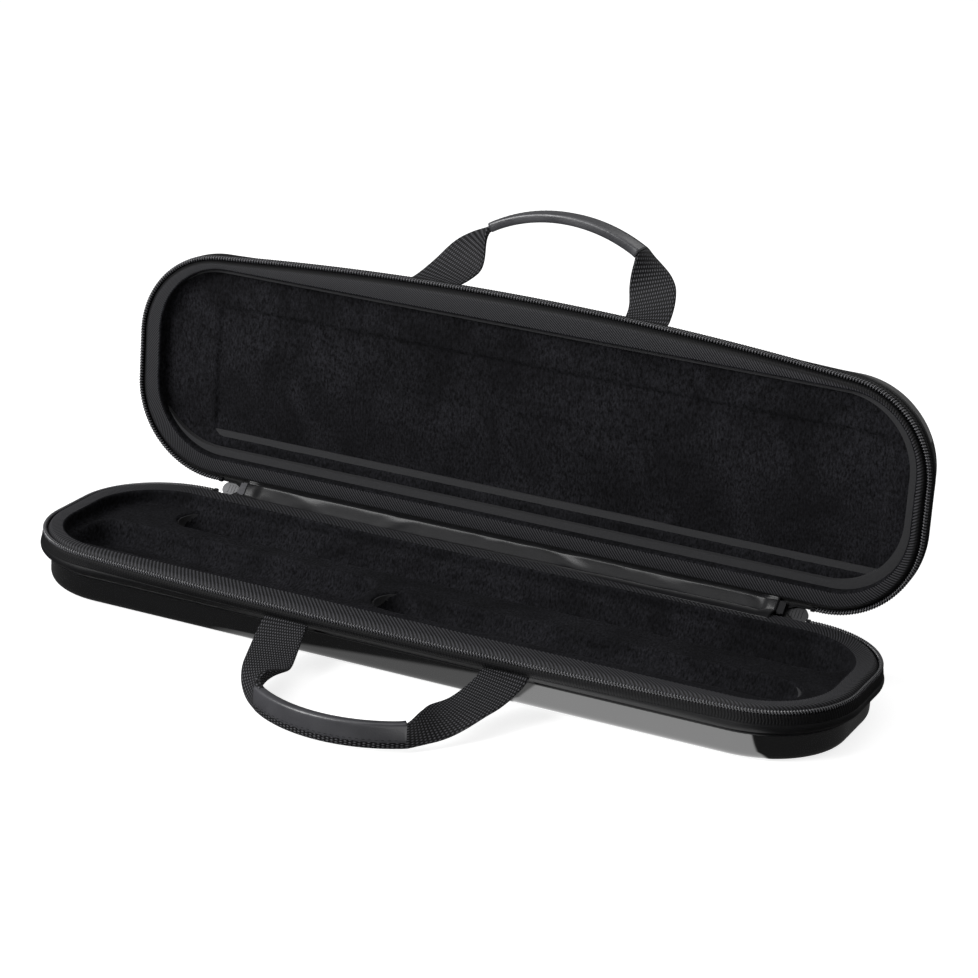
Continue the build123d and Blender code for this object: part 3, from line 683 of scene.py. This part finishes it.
def makeTwill(name, half):
    # surface between the rim outline and the opening outline: a steep plain edge, then a crown with slanted ribs
    form, opening = twillForm, openingShapes[half]
    rimSteps = outlineSteps(rimShape, form["spacing"])
    share = np.linspace(0.0, 1.0, form["rows"])[:, None]
    knots = np.concatenate([[0.0], np.cumsum(segmentLengths(rimShape))])
    openKnots = np.concatenate([[0.0], np.cumsum(segmentLengths(opening))])
    openSteps = np.sign(rimSteps) * np.interp(np.abs(rimSteps), knots, openKnots)
    outerX, outerY = outline(rimShape, rimSteps[None, :], 2.3)
    innerX, innerY = outline(opening, openSteps[None, :], 0.0)
    x, y = outerX + (innerX - outerX) * share, outerY + (innerY - outerY) * share
    width = np.hypot(innerX - outerX, innerY - outerY)
    steep = 1.0 - (1.0 - np.minimum(share / form["plain"], 1.0)) ** 2
    rounded = np.sin(math.pi * np.clip((share - 0.1) / 0.9, 0.0, 1.0))
    end = seam["crest"] - 0.1 - form["edge"] - form["rise"]
    height = form["edge"] + form["rise"] * steep + form["crown"] * rounded + end * share
    run = rimSteps[None, :] * (1.0 if half == "base" else -1.0)
    run = (run + share * width * form["lean"][half]) * form["ribPitch"]["base"] / form["ribPitch"][half]
    rib = np.sin(2 * math.pi * run / form["ribPitch"]["base"])
    fade = smoothStep((share - form["ribsFrom"][half]) / 0.16) * smoothStep((1.0 - share) / 0.08)
    height = height + form["relief"] * rib * fade
    top = np.stack([x, y, height], axis=-1)
    under = np.stack([x, y, 25.2 + (seam["crest"] - 1.2 - 25.2) * share + 0.0 * x], axis=-1)[::-3]
    points = np.concatenate([top, under, top[:1]], axis=0)
    points[:, -1] = points[:, 0]
    down = np.concatenate([share[:, 0], 1.0 + share[::3, 0], [2.1]])[:, None] * width
    down = down + (2.0 if half == "base" else 0.0)
    across = np.concatenate([run, run[::-3], run[:1]], axis=0)
    uv = np.stack([across, down], -1)
    piece = mergeSeams(gridMesh(name, place(points, half), uv))
    return dress(piece, "twill", half, "twill_tape", half + "_twill_ring")


onBothHalves("twill_tape_ring", makeTwill)
print("twill rings made")


# plush beds: one surface from the crest down the wall and over the bed
bedForm = {
    "spacing": 1.15,
    "wall": [(-1.4, 29.0), (-0.7, 29.6), (0.0, 29.75), (0.55, 29.35), (0.85, 28.3), (0.95, 26.4), (1.05, 24.6),
             (1.5, 23.2), (2.5, 22.35), (4.0, 22.05), (5.2, 22.0)],
    "rearChannel": (-163.5, 193.5, 30.0),
    "frontChannel": (-20.5, 185.5, -17.0),
    "channelRadius": 12.5,
    "pocket": (-209.0, -40.0, -34.0, 4.0, 12.0, 11.5),
    "ledge": (-206.0, -150.0, -35.5, 38.5, 9.0, 0.8),
    "panel": (-182.5, 203.5, -34.5, 40.3, 6.0, 2.0),
    "lowerPanel": (-172.0, 89.5, -7.5, 38.0, 9.0, 0.8),
    "seamRidge": (-184.6, 1.1, 0.5),
}


def roundedBoxDistance(x, y, box):
    # distance outside a rectangle with round corners, negative inside
    left, right, front, rear, radius = box[:5]
    dx = np.abs(x - (left + right) / 2) - (right - left) / 2 + radius
    dy = np.abs(y - (front + rear) / 2) - (rear - front) / 2 + radius
    outside = np.hypot(np.maximum(dx, 0.0), np.maximum(dy, 0.0))
    return outside + np.minimum(np.maximum(dx, dy), 0.0) - radius


def channelDepth(x, y, channel, radius):
    # round-bottomed trough with ball ends; its lips are rounded by the pile
    start, end, across = channel
    distance = np.hypot(x - np.clip(x, start, end), y - across)
    trough = np.sqrt(np.maximum(radius**2 - np.minimum(distance, radius) ** 2, 0.0))
    lip = 1.0 - smoothStep((distance - radius + 1.2) / 2.4)
    return np.where(distance < radius - 1.2, trough, np.sqrt(np.maximum(2.4 * radius - 1.44, 0.0)) * lip)


def panelDepth(x, y, box, edge, round=0.0):
    # flat-bottomed recess whose side is a smooth step
    distance = roundedBoxDistance(x, y, box)
    step = 1.0 - smoothStep((distance + edge * 0.6) / edge)
    if round > 0:
        inner = np.clip(-distance / round, 0.0, 1.0)
        return box[5] * np.sqrt(1.0 - (1.0 - inner) ** 2)
    return box[5] * step


def bedHeight(x, y, half):
    form = bedForm
    if half == "base":
        depth = np.maximum(channelDepth(x, y, form["rearChannel"], form["channelRadius"]),
                           channelDepth(x, y, form["frontChannel"], form["channelRadius"]))
        pocket = panelDepth(x, y, form["pocket"], 2.6, 7.5)
        return -np.maximum(depth, pocket)
    ledge = panelDepth(x, y, form["ledge"], 2.0)
    step = np.maximum(ledge, panelDepth(x, y, form["panel"], 2.4))
    lower = panelDepth(x, y, form["lowerPanel"], 2.2) * smoothStep((x - form["lowerPanel"][0]) / 190.0)
    where, width, ridge = form["seamRidge"]
    return ridge * np.exp(-(((x - where) / width) ** 2)) * ledge / form["ledge"][5] - step - lower


def makeBed(name, half):
    # rings inside the opening outline; height is the wall's curve plus the bed's recesses and a soft pile
    form, opening = bedForm, openingShapes[half]
    along = outlineSteps(opening, form["spacing"])
    middle = (opening["rear"] + opening["front"]) / 2
    wall = curveThrough(form["wall"], 2)
    inner = np.arange(wall[-1, 0] + form["spacing"], middle, form["spacing"])
    inset = np.concatenate([wall[:, 0], inner, [middle]])[:, None]
    level = np.concatenate([wall[:, 1], np.full(len(inner) + 1, seam["bed"])])[:, None]
    x, y = outline(opening, along[None, :], np.minimum(inset, opening["corner"] - 0.001))
    # past the corner radius the rings keep their spacing as they shrink to a centre line, where the sides meet
    centre, beyond = (opening["rear"] - opening["front"]) / 2, np.maximum(inset - opening["corner"], 0.0)
    x = opening["shift"] + (x - opening["shift"]) * (1.0 - beyond / (opening["reach"] - opening["corner"]))
    y = centre + (y - centre) * (1.0 - beyond / (middle - opening["corner"]))
    soft = smoothStep((inset - 2.0) / 4.0)
    pile = 0.16 * hashNoise(x / 7.0, y / 5.0, 5.0) + 0.1 * hashNoise(x / 2.6, y / 2.1, 9.0)
    height = level + (bedHeight(x, y, half) + pile) * soft
    points = np.stack([x, y, height], axis=-1)
    uv = np.stack([np.broadcast_to(along, x.shape), np.broadcast_to(inset, x.shape)], -1)
    piece = mergeSeams(gridMesh(name, place(points, half), uv, flip=half == "lid"), 2e-5, closed=False)
    thick = piece.modifiers.new("backing", "SOLIDIFY")
    thick.thickness = 1.0 * mm
    thick.offset = -1.0
    dress(piece, "plush", half, "plush", half + "_lining")
    return piece


onBothHalves("plush_bed", makeBed)
print("plush beds made")


# satin strip over the hinge, and the tape strip behind it
stripForm = {
    "satin": [(57.6, 27.2), (58.6, 27.4), (59.6, 27.5), (61.2, 27.45), (62.6, 28.2)],
    # towards the right the satin lies further over the base's twill
    "satinWide": [(50.2, 29.6), (53.6, 30.2), (57.4, 29.8), (60.6, 28.9), (62.6, 28.5)],
    "tape": [(64.5, 20.9), (64.8, 23.2), (64.9, 26.2)],
    "satinEnd": 155.5, "overSlider": 2.6, "thickness": 0.5,
    "creases": [(-118.0, 6.0, 0.9, 9.0), (-64.0, -5.0, 0.7, 7.0), (38.0, 7.0, 0.9, 8.0), (96.0, -6.0, 0.6, 10.0),
                (146.0, 3.0, 0.7, 4.0)],
}


def stripPath(baseKnots, lidKnots):
    # base side, a run across the gap, and the lid side's own points
    baseSide = np.array([[0.0, y, z] for y, z in baseKnots])
    lidSide = openLid(np.array([[0.0, y, z] for y, z in lidKnots]))[::-1]
    return curveThrough(np.vstack([baseSide, lidSide])[:, 1:], 6), baseSide, lidSide


def makeStrip(name, label, end, node, material, wrinkle):
    # strip along the hinge line with slanted creases; its ends are lifted over the sliders
    knots = stripForm[label]
    path, baseSide, lidSide = stripPath(knots, knots)
    wide = stripPath(stripForm.get(label + "Wide", knots), knots)[0]
    length = profileLength(path)
    x = np.linspace(-end, end, 260)[None, :]
    share = smoothStep((x + 70.0) / 190.0)
    line = path[:, None] * (1.0 - share[..., None]) + wide[:, None] * share[..., None]
    t = (length / length[-1])[:, None]
    ahead = np.gradient(line, axis=0)
    normal = unit(np.stack([-ahead[..., 1], ahead[..., 0]], axis=-1))
    held = np.sin(math.pi * np.clip(t, 0.0, 1.0))
    wrinkles = 0.28 * hashNoise(x / 26.0, t * 3.0, 2.0) + 0.12 * hashNoise(x / 9.0, t * 5.0, 7.0)
    for where, slant, depth, width in stripForm["creases"]:
        wrinkles = wrinkles - depth * np.exp(-(((x - where) + slant * (t - 0.5) * 4.0) / width) ** 2) * held
    over = smoothStep((np.abs(x) - 146.0) / 5.5) * stripForm["overSlider"]
    lift = wrinkle * (wrinkles + over) * held
    y = line[..., 0] + normal[..., 0] * lift
    z = line[..., 1] + normal[..., 1] * lift
    points = np.stack([np.broadcast_to(x, y.shape), y, z], axis=-1)
    uv = np.stack([np.broadcast_to(x, y.shape), np.broadcast_to(length[:, None], y.shape)], -1)
    piece = gridMesh(name, points, uv)
    thick = piece.modifiers.new("cloth", "SOLIDIFY")
    thick.thickness = stripForm["thickness"] * mm
    thick.offset = 0.0
    piece.data.materials.append(finish[material])
    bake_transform(piece)
    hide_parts(node)
    return piece


makeStrip("satin_hinge_strip", "satin", stripForm["satinEnd"], "hinge_strip", "satin", 1.0)
makeStrip("hinge_tape_strip", "tape", hinge["stripEnd"], "hinge_back_strip", "zipTape", 0.0)
print("hinge strips made")


# mouth of the zip: tape from each twill ring to the slider and past the pull, turning with the hinge
mouthForm = {"rim": 175.5, "mouth": 160.0, "inner": 151.0, "root": (5.9, 0.1), "thickness": 0.6,
             "edge": {"base": 4.2, "lid": 3.3}, "sliderEdge": 1.4}


def hingePlane(x, t, o):
    # t runs away from the hinge line in the halfway plane, towards the lid where positive; o runs outwards from it
    lean = hinge["open"] / 2.0 - math.pi / 4.0
    tY, tZ = math.cos(math.pi / 4.0 - lean), math.sin(math.pi / 4.0 - lean)
    return np.stack([x + 0.0 * t, hinge["y"] + tY * t + tZ * o, hinge["z"] + tZ * t - tY * o], axis=-1)


def makeMouth(side, half):
    # one tape beside the pull that is fixed to its half, and one that the slider holds
    form = mouthForm
    way = 1.0 if half == "lid" else -1.0
    sign = 1.0 if side == "right" else -1.0
    share = np.linspace(0.0, 1.0, 9)[:, None]
    for label, start, stop, free in (("mouth_tape", form["mouth"], form["rim"], form["edge"][half]),
                                     ("slider_tape", form["inner"], form["mouth"], form["sliderEdge"])):
        x = np.linspace(start, stop, 41)[None, :]
        edge = form["sliderEdge"] + (free - form["sliderEdge"]) * smoothStep((x - form["mouth"]) / 5.0)
        t = form["root"][0] + (edge - form["root"][0]) * share
        o = form["root"][1] * (1.0 - share) + 0.3 * np.sin(math.pi * share) + 0.0 * x
        points = hingePlane(sign * x, way * t, o)
        uv = np.stack([np.broadcast_to(x, t.shape), t], -1)
        piece = gridMesh(side + "_" + half + "_" + label, points, uv, flip=way * sign > 0)
        thick = piece.modifiers.new("tape", "SOLIDIFY")
        thick.thickness = form["thickness"] * mm
        thick.offset = 0.0
        if label == "mouth_tape":
            dress(piece, "zipTape", half, "tape_band")
            continue
        piece.data.materials.append(finish["zipTape"])
        if half == "base":
            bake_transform(piece)
        else:
            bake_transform(piece)


for side in ("left", "right"):
    for half in ("base", "lid"):
        makeMouth(side, half)
print("zip mouths made")


# handles: webbing that leaves its root flat, turns on edge and is folded double in the sleeve
handleForm = {
    "centreX": 4.0, "rootHalf": 61.0, "webbing": (25.0, 1.8), "folded": (12.5, 3.2), "twistStart": 0.4,
    "pivotY": -68.44, "pivotZ": 20.61,
    "base": {"gripHalf": 40.0, "shift": 2.0, "reach": 69.5, "rise": 13.5, "drop": 12.4, "leave": 34.0,
             "pulls": {"left": (20.0, 8.0), "right": (14.0, 6.0)},
             "foldOuter": {"left": (0.42, 0.98), "right": (0.3, 0.9)},
             "foldInner": {"left": (0.8, 1.16), "right": (0.42, 0.98)}},
    "lid": {"gripHalf": 42.0, "shift": 4.7, "reach": 30.0, "rise": 11.0, "drop": 25.5, "leave": 95.0,
            "pulls": {"left": (15.0, 7.0), "right": (9.0, 5.0)},
            "foldOuter": {"left": (0.7, 1.06), "right": (0.42, 0.98)},
            "foldInner": {"left": (0.42, 0.98), "right": (0.42, 0.98)}},
}
sleeveForm = {"wall": 1.0, "edgeShown": 3.4, "stitchPitch": 3.0, "stitchFromEdge": 1.7}


def strapRun(half, side, slope):
    # left-hand strap from its root to the grip: a cubic, turning on edge and folding double on its way
    form, lay = handleForm, handleForm[half]
    leave, (leavePull, joinPull) = math.radians(lay["leave"]), lay["pulls"][side]
    start = np.array([-form["rootHalf"], 0.0, 0.0])
    first = start + np.array([0.0, math.cos(leave), math.sin(leave)]) * leavePull
    end = np.array([-lay["gripHalf"], lay["reach"], lay["drop"]])
    second = end - np.array([math.cos(slope), math.sin(slope), 0.0]) * joinPull
    t = np.linspace(0.0, 1.0, 81)[:, None]
    b = 1.0 - t
    centre = start * b**3 + first * 3 * b * b * t + second * 3 * b * t * t + end * t**3
    run = unit((first - start) * b * b + (second - first) * 2 * b * t + (end - second) * t * t)
    turn = math.pi / 2 * smoothStep((t - form["twistStart"]) / (1.0 - form["twistStart"]))
    across = np.concatenate([-np.cos(turn), 0.0 * turn, np.sin(turn)], axis=1)
    across = unit(across - run * np.sum(across * run, axis=1, keepdims=True))
    return centre, across, run, smoothStep(2.0 * t[:, 0])


def handlePath(half):
    # centre, across, run and fold at each step of the webbing: left strap, circular arc, right strap mirrored
    lay = handleForm[half]
    slope = 2 * math.atan2(lay["rise"], lay["gripHalf"])
    left, right = [strapRun(half, side, slope) for side in ("left", "right")]
    radius = lay["gripHalf"] / math.sin(slope)
    angle = np.linspace(-slope, slope, 73)[1:-1, None]
    grip = np.concatenate([radius * np.sin(angle), lay["reach"] + radius * (np.cos(angle) - math.cos(slope)),
                           lay["drop"] + 0.0 * angle], axis=1)
    gripRun = np.concatenate([np.cos(angle), -np.sin(angle), 0.0 * angle], axis=1)
    gripAcross = np.broadcast_to([0.0, 0.0, 1.0], gripRun.shape)
    flip = np.array([-1.0, 1.0, 1.0])
    centres = np.concatenate([left[0], grip, right[0][::-1] * flip])
    acrosses = np.concatenate([left[1], gripAcross, right[1][::-1] * flip])
    runs = np.concatenate([left[2], gripRun, right[2][::-1] * -flip])
    # the grip hangs a little to one side of its two roots
    centres[:, 0] += lay["shift"] * np.concatenate([left[3], np.ones(len(angle)), right[3][::-1]])
    # each edge folds in on its own stretch; 1 is where the sleeve begins, and past it the fold goes on inside
    progress = np.concatenate([np.linspace(0.0, 1.0, 81), 1.0 + 0.018 * np.arange(1, len(angle) + 82)])
    folds = []
    for edge in ("foldOuter", "foldInner"):
        leftEdge, rightEdge = [smoothStep((line - lay[edge][side][0]) / (lay[edge][side][1] - lay[edge][side][0]))
                               for line, side in ((progress, "left"), (progress[::-1], "right"))]
        folds.append(np.minimum(leftEdge, rightEdge)[:, None])
    return centres, acrosses, runs, folds


def handleToCase(points):
    # handle frame to case frame: along the case, out from the root, and away from the seam
    form = handleForm
    return np.stack([form["centreX"] + points[..., 0], form["pivotY"] - points[..., 1],
                     form["pivotZ"] - points[..., 2]], axis=-1)


def makeWebbing(name, half):
    # flat section with round edges; where it is folded, a groove shows between the two layers
    form = handleForm
    centres, acrosses, runs, folds = handlePath(half)
    angle = np.linspace(0.0, 2 * math.pi, 33)
    thick = np.cross(runs, acrosses)
    outer, inner = [form["webbing"][0] + (form["folded"][0] - form["webbing"][0]) * fold for fold in folds]
    fold = (folds[0] + folds[1]) / 2
    height = form["webbing"][1] + (form["folded"][1] - form["webbing"][1]) * fold
    sideways = np.sign(np.cos(angle)) * np.abs(np.cos(angle)) ** 0.16
    upwards = np.sign(np.sin(angle)) * np.abs(np.sin(angle)) ** 0.55
    groove = 1.0 - 0.07 * fold * np.exp(-(np.sin(angle) / 0.25) ** 2)[None, :]
    a = sideways[None, :] * np.where(sideways > 0, outer, inner) / 2 * groove
    c = upwards[None, :] * height / 2
    points = centres[:, None] + acrosses[:, None] * a[..., None] + thick[:, None] * c[..., None]
    stepLength = np.concatenate([[0.0], np.cumsum(np.linalg.norm(np.diff(centres, axis=0), axis=1))])
    uv = np.stack([np.broadcast_to(stepLength[:, None], a.shape), np.where(c > 0, 1.0, -1.0) * a], -1)
    piece = capEnds(gridMesh(name, place(handleToCase(points), half), uv))
    return dress(piece, "webbing", half + "_handle", "webbing", half + "_handle_webbing")


def sleeveSection(half, angle, grow=0.0):
    # rounded box round the folded webbing, moved towards the seam so that the webbing's free edge shows
    form, sleeve = handleForm, sleeveForm
    width = form["folded"][0] + sleeve["wall"] - sleeve["edgeShown"] + grow
    height = form["folded"][1] + 2 * sleeve["wall"] + grow
    a = np.sign(np.cos(angle)) * np.abs(np.cos(angle)) ** 0.28 * width / 2
    c = np.sign(np.sin(angle)) * np.abs(np.sin(angle)) ** 0.5 * height / 2
    return a - (sleeve["wall"] + sleeve["edgeShown"]) / 2, c


def makeSleeve(name, half):
    # sleeve along the grip's arc, with a rolled rim at each end and a hollow for the webbing
    centres, acrosses, runs, folds = handlePath(half)
    grip = slice(80, 80 + 73)
    centre, across, run = centres[grip], acrosses[grip], runs[grip]
    thick = np.cross(run, across)
    angle = np.linspace(0.0, 2 * math.pi, 41)
    a, c = sleeveSection(half, angle)
    end = np.minimum(np.arange(73), np.arange(73)[::-1])[:, None]
    swell = 1.0 + 0.03 * np.exp(-(end / 1.5) ** 2)
    points = centre[:, None] + across[:, None] * (a[None, :] * swell)[..., None]
    points = points + thick[:, None] * (c[None, :] * swell)[..., None]
    stepLength = np.concatenate([[0.0], np.cumsum(np.linalg.norm(np.diff(centre, axis=0), axis=1))])
    uv = np.stack([stepLength[:, None] + 0.0 * a[None, :], a[None, :] + 0.0 * swell], -1)
    piece = capEnds(gridMesh(name, place(handleToCase(points), half), uv))
    return dress(piece, "leatherette", half + "_handle", "leatherette", half + "_handle_sleeve")


def makeStitches(name, half):
    # row of short thread stitches on both faces, beside the sleeve's open edge
    centres, acrosses, runs, folds = handlePath(half)
    grip = slice(80, 80 + 73)
    centre, across, run = centres[grip], acrosses[grip], runs[grip]
    thick = np.cross(run, across)
    length = np.concatenate([[0.0], np.cumsum(np.linalg.norm(np.diff(centre, axis=0), axis=1))])
    sleeve = sleeveForm
    count = int((length[-1] - 4.0) / sleeve["stitchPitch"])
    starts = 2.0 + np.arange(count) * sleeve["stitchPitch"]
    u = np.linspace(-1.0, 1.0, 7)
    angle = np.linspace(0.0, 2 * math.pi, 7)[:-1]
    at = starts[:, None] + (u[None, :] * 0.5 + 0.5) * sleeve["stitchPitch"] * 0.72
    spot = np.stack([np.interp(at, length, centre[:, k]) for k in range(3)], -1)
    sideDirection = np.stack([np.interp(at, length, across[:, k]) for k in range(3)], -1)
    outDirection = np.stack([np.interp(at, length, thick[:, k]) for k in range(3)], -1)
    lowEdge = (handleForm["folded"][0] + sleeve["wall"] - sleeve["edgeShown"]) / 2
    rowAcross = lowEdge - (sleeve["wall"] + sleeve["edgeShown"]) / 2 - sleeve["stitchFromEdge"]
    surface = handleForm["folded"][1] / 2 + sleeve["wall"] - 0.2
    arch = np.sqrt(np.maximum(1.0 - u**2, 0.0))
    vertices, faces = [], []
    for side in (-1.0, 1.0):
        core = spot + sideDirection * rowAcross + outDirection * (side * (surface + 0.02 * arch[None, :, None]))
        radius = (0.06 + 0.17 * arch)[None, :, None, None]
        ring = core[:, :, None] + radius * (np.cos(angle)[:, None] * sideDirection[:, :, None]
                                            + np.sin(angle)[:, None] * outDirection[:, :, None])
        base = sum(len(row) for row in vertices)
        vertices.append(handleToCase(ring).reshape(-1, 3))
        k, i, j = np.meshgrid(np.arange(count), np.arange(6), np.arange(6), indexing="ij")
        index = (k * 7 + i) * 6
        nextJ = (j + 1) % 6
        faces.append(np.stack([index + j, index + nextJ, index + 6 + nextJ, index + 6 + j], -1).reshape(-1, 4) + base)
    points = place(np.concatenate(vertices), half)
    mesh = bpy.data.meshes.new(name)
    mesh.from_pydata((points * mm).tolist(), [], np.concatenate(faces).tolist())
    piece = bpy.data.objects.new(name, mesh)
    bpy.context.scene.collection.objects.link(piece)
    capEnds(piece)
    return dress(piece, "thread", half + "_handle", "leatherette")


onBothHalves("webbing_strap", makeWebbing)
onBothHalves("grip_sleeve", makeSleeve)
onBothHalves("sleeve_stitches", makeStitches)
print("handles made")

# CAD pieces whose shape is right keep it and get their finish
carried = {
    "foam": ["base_insert", "lid_insert"],
    "zincBlack": ["right_slider", "base_zip_stops", "lid_zip_stops"],
    "zincGrey": ["left_slider"],
    "steel": ["left_pull_pin", "right_pull_pin"],
    "pullGrey": ["left_pull"],
    "pullBlack": ["right_pull"],
    "webbing": ["base_handle_anchors", "lid_handle_anchors"],
}
for material, nodes in carried.items():
    for node in nodes:
        data = frame["nodes"][node].data
        data.materials.clear()
        data.materials.append(finish[material])
print("carried nodes dressed")

# stage: a white floor, and a painted reflection: a glowing patch of floor beside the case that shows only in the gloss
studio = {"floorSize": 6.0, "keyPower": 30.0, "topPower": 6.0, "rearPower": 4.0, "room": 0.2, "glow": 0.8,
          "paintedReflectionX": (0.062, 0.195), "paintedReflectionEdge": 0.003, "nearY": -0.083, "nearSlant": 0.17, "nearX": -0.115,
          "paintedReflectionLevel": 1.4, "nearLevel": 0.46, "farLevel": 0.05}


def makeFloor():
    # plain white floor: seen and in gloss it glows up to white, and the case's shadow stays on it
    bpy.ops.mesh.primitive_plane_add(size=studio["floorSize"], location=(0.0, 0.0, -0.0004))
    floor = bpy.context.object
    floor.name = "floor"
    material, tree, surface = newMaterial("whiteFloor", "#ffffff", 0.9, specular=0.0)
    output = tree.nodes["Material Output"]
    path = addNode(tree, "ShaderNodeLightPath")
    # in gloss it is a painted reflection: a glowing white patch beside the case, a paler glowing edge along the front,
    # and a dim floor further off, laid out for the shell's gloss to show
    where = addNode(tree, "ShaderNodeTexCoord")
    parts = addNode(tree, "ShaderNodeSeparateXYZ", Vector=where.outputs["Object"])

    def step(axis, start, stop):
        return addNode(tree, "ShaderNodeMapRange", {"interpolation_type": "SMOOTHSTEP", 1: start, 2: stop},
                       i0=parts.outputs[axis]).outputs[0]

    def product(first, second):
        return addNode(tree, "ShaderNodeMath", {"operation": "MULTIPLY"}, i0=first, i1=second).outputs[0]

    left, right = studio["paintedReflectionX"]
    # painted reflection: this patch and the strip near the front glow only for gloss rays, and are no lamp
    paintedReflectionPatch = product(step("X", left, left + studio["paintedReflectionEdge"]), step("X", right + studio["paintedReflectionEdge"], right))
    along = addNode(tree, "ShaderNodeMath", {"operation": "MULTIPLY_ADD", 1: studio["nearSlant"]},
                    i0=parts.outputs["X"], i2=parts.outputs["Y"])
    edge = addNode(tree, "ShaderNodeMapRange", {"interpolation_type": "SMOOTHSTEP", 1: studio["nearY"],
                                                2: studio["nearY"] + 0.006}, i0=along.outputs[0])
    near = product(product(edge.outputs[0],
                           step("X", studio["nearX"], studio["nearX"] + 0.03)), step("X", left + 0.01, left))
    paintedReflectionGlow = addNode(tree, "ShaderNodeMath", {"operation": "MULTIPLY", 1: studio["paintedReflectionLevel"]}, i0=paintedReflectionPatch)
    nearGlow = addNode(tree, "ShaderNodeMath", {"operation": "MULTIPLY", 1: studio["nearLevel"]}, i0=near)
    most = addNode(tree, "ShaderNodeMath", {"operation": "MAXIMUM"}, i0=paintedReflectionGlow.outputs[0], i1=nearGlow.outputs[0])
    gloss = addNode(tree, "ShaderNodeMath", {"operation": "MAXIMUM", 1: studio["farLevel"]}, i0=most.outputs[0])
    glossGlow = addNode(tree, "ShaderNodeEmission", {"Color": (1.0, 1.0, 1.0, 1.0)}, Strength=gloss.outputs[0])
    matt = addNode(tree, "ShaderNodeBsdfDiffuse", {"Color": (0.6, 0.6, 0.6, 1.0)})
    glow = addNode(tree, "ShaderNodeEmission", {"Color": (1.0, 1.0, 1.0, 1.0), "Strength": studio["glow"]})
    both = addNode(tree, "ShaderNodeAddShader", i0=matt.outputs[0], i1=glow.outputs[0])
    inGloss = addNode(tree, "ShaderNodeMixShader", i0=path.outputs["Is Glossy Ray"], i1=surface.outputs[0],
                      i2=glossGlow.outputs[0])
    mix = addNode(tree, "ShaderNodeMixShader", i0=path.outputs["Is Camera Ray"], i1=inGloss.outputs[0],
                  i2=both.outputs[0])
    tree.links.new(mix.outputs[0], output.inputs["Surface"])
    floor.data.materials.append(material)
    return floor


def makeWorld():
    # soft grey room light, white behind the object
    world = bpy.data.worlds.new("studio")
    bpy.context.scene.world = world
    world.use_nodes = True
    tree = world.node_tree
    tree.nodes.clear()
    path = addNode(tree, "ShaderNodeLightPath")
    room = addNode(tree, "ShaderNodeBackground", {"Color": (1.0, 1.0, 1.0, 1.0), "Strength": studio["room"]})
    white = addNode(tree, "ShaderNodeBackground", {"Color": (1.0, 1.0, 1.0, 1.0), "Strength": 1.0})
    mix = addNode(tree, "ShaderNodeMixShader", i0=path.outputs["Is Camera Ray"])
    tree.links.new(room.outputs[0], mix.inputs[1])
    tree.links.new(white.outputs[0], mix.inputs[2])
    output = addNode(tree, "ShaderNodeOutputWorld")
    tree.links.new(mix.outputs[0], output.inputs["Surface"])


def makeLight(name, spot, target, size, power):
    # rectangular softbox aimed at a point of the case
    data = bpy.data.lights.new(name, "AREA")
    data.shape = "RECTANGLE"
    data.size, data.size_y = size
    data.energy = power
    lamp = bpy.data.objects.new(name, data)
    bpy.context.scene.collection.objects.link(lamp)
    lamp.location = spot
    lamp.rotation_euler = (Vector(target) - Vector(spot)).to_track_quat("-Z", "Y").to_euler()
    return lamp


makeFloor()
makeWorld()
makeLight("topSoftbox", (-0.1, 0.1, 1.5), (0.0, 0.0, 0.0), (1.6, 1.0), studio["topPower"])
makeLight("frontSoftbox", (-0.9, -1.2, 0.9), (0.0, 0.0, 0.05), (0.9, 0.9), studio["keyPower"])
makeLight("rearSoftbox", (0.5, 1.3, 1.1), (0.0, 0.0, 0.1), (1.2, 0.6), studio["rearPower"])

# camera fitted to the zip line of both halves in the photograph, in millimetres and pixels
cameraFit = {
    "place": (655.43, -1408.84, 631.18),
    "right": (0.90119088, 0.42953677, 0.05790642),
    "up": (-0.19258251, 0.27714637, 0.94132984),
    "back": (0.38828723, -0.85946963, 0.33248305),
    "focalPixels": 3249.92,
    "imagePixels": 978,
}


def makeCamera():
    data = bpy.data.cameras.new("camera")
    camera = bpy.data.objects.new("camera", data)
    bpy.context.scene.collection.objects.link(camera)
    data.sensor_width = 36.0
    data.lens = cameraFit["focalPixels"] * data.sensor_width / cameraFit["imagePixels"]
    data.clip_start, data.clip_end = 0.01, 50.0
    axes = Matrix([cameraFit["right"], cameraFit["up"], cameraFit["back"]]).transposed().to_4x4()
    camera.matrix_world = Matrix.Translation(Vector(cameraFit["place"]) * mm) @ axes
    bpy.context.scene.camera = camera


makeCamera()
bpy.context.scene.view_settings.view_transform = "Standard"
print("stage, lights and camera ready")
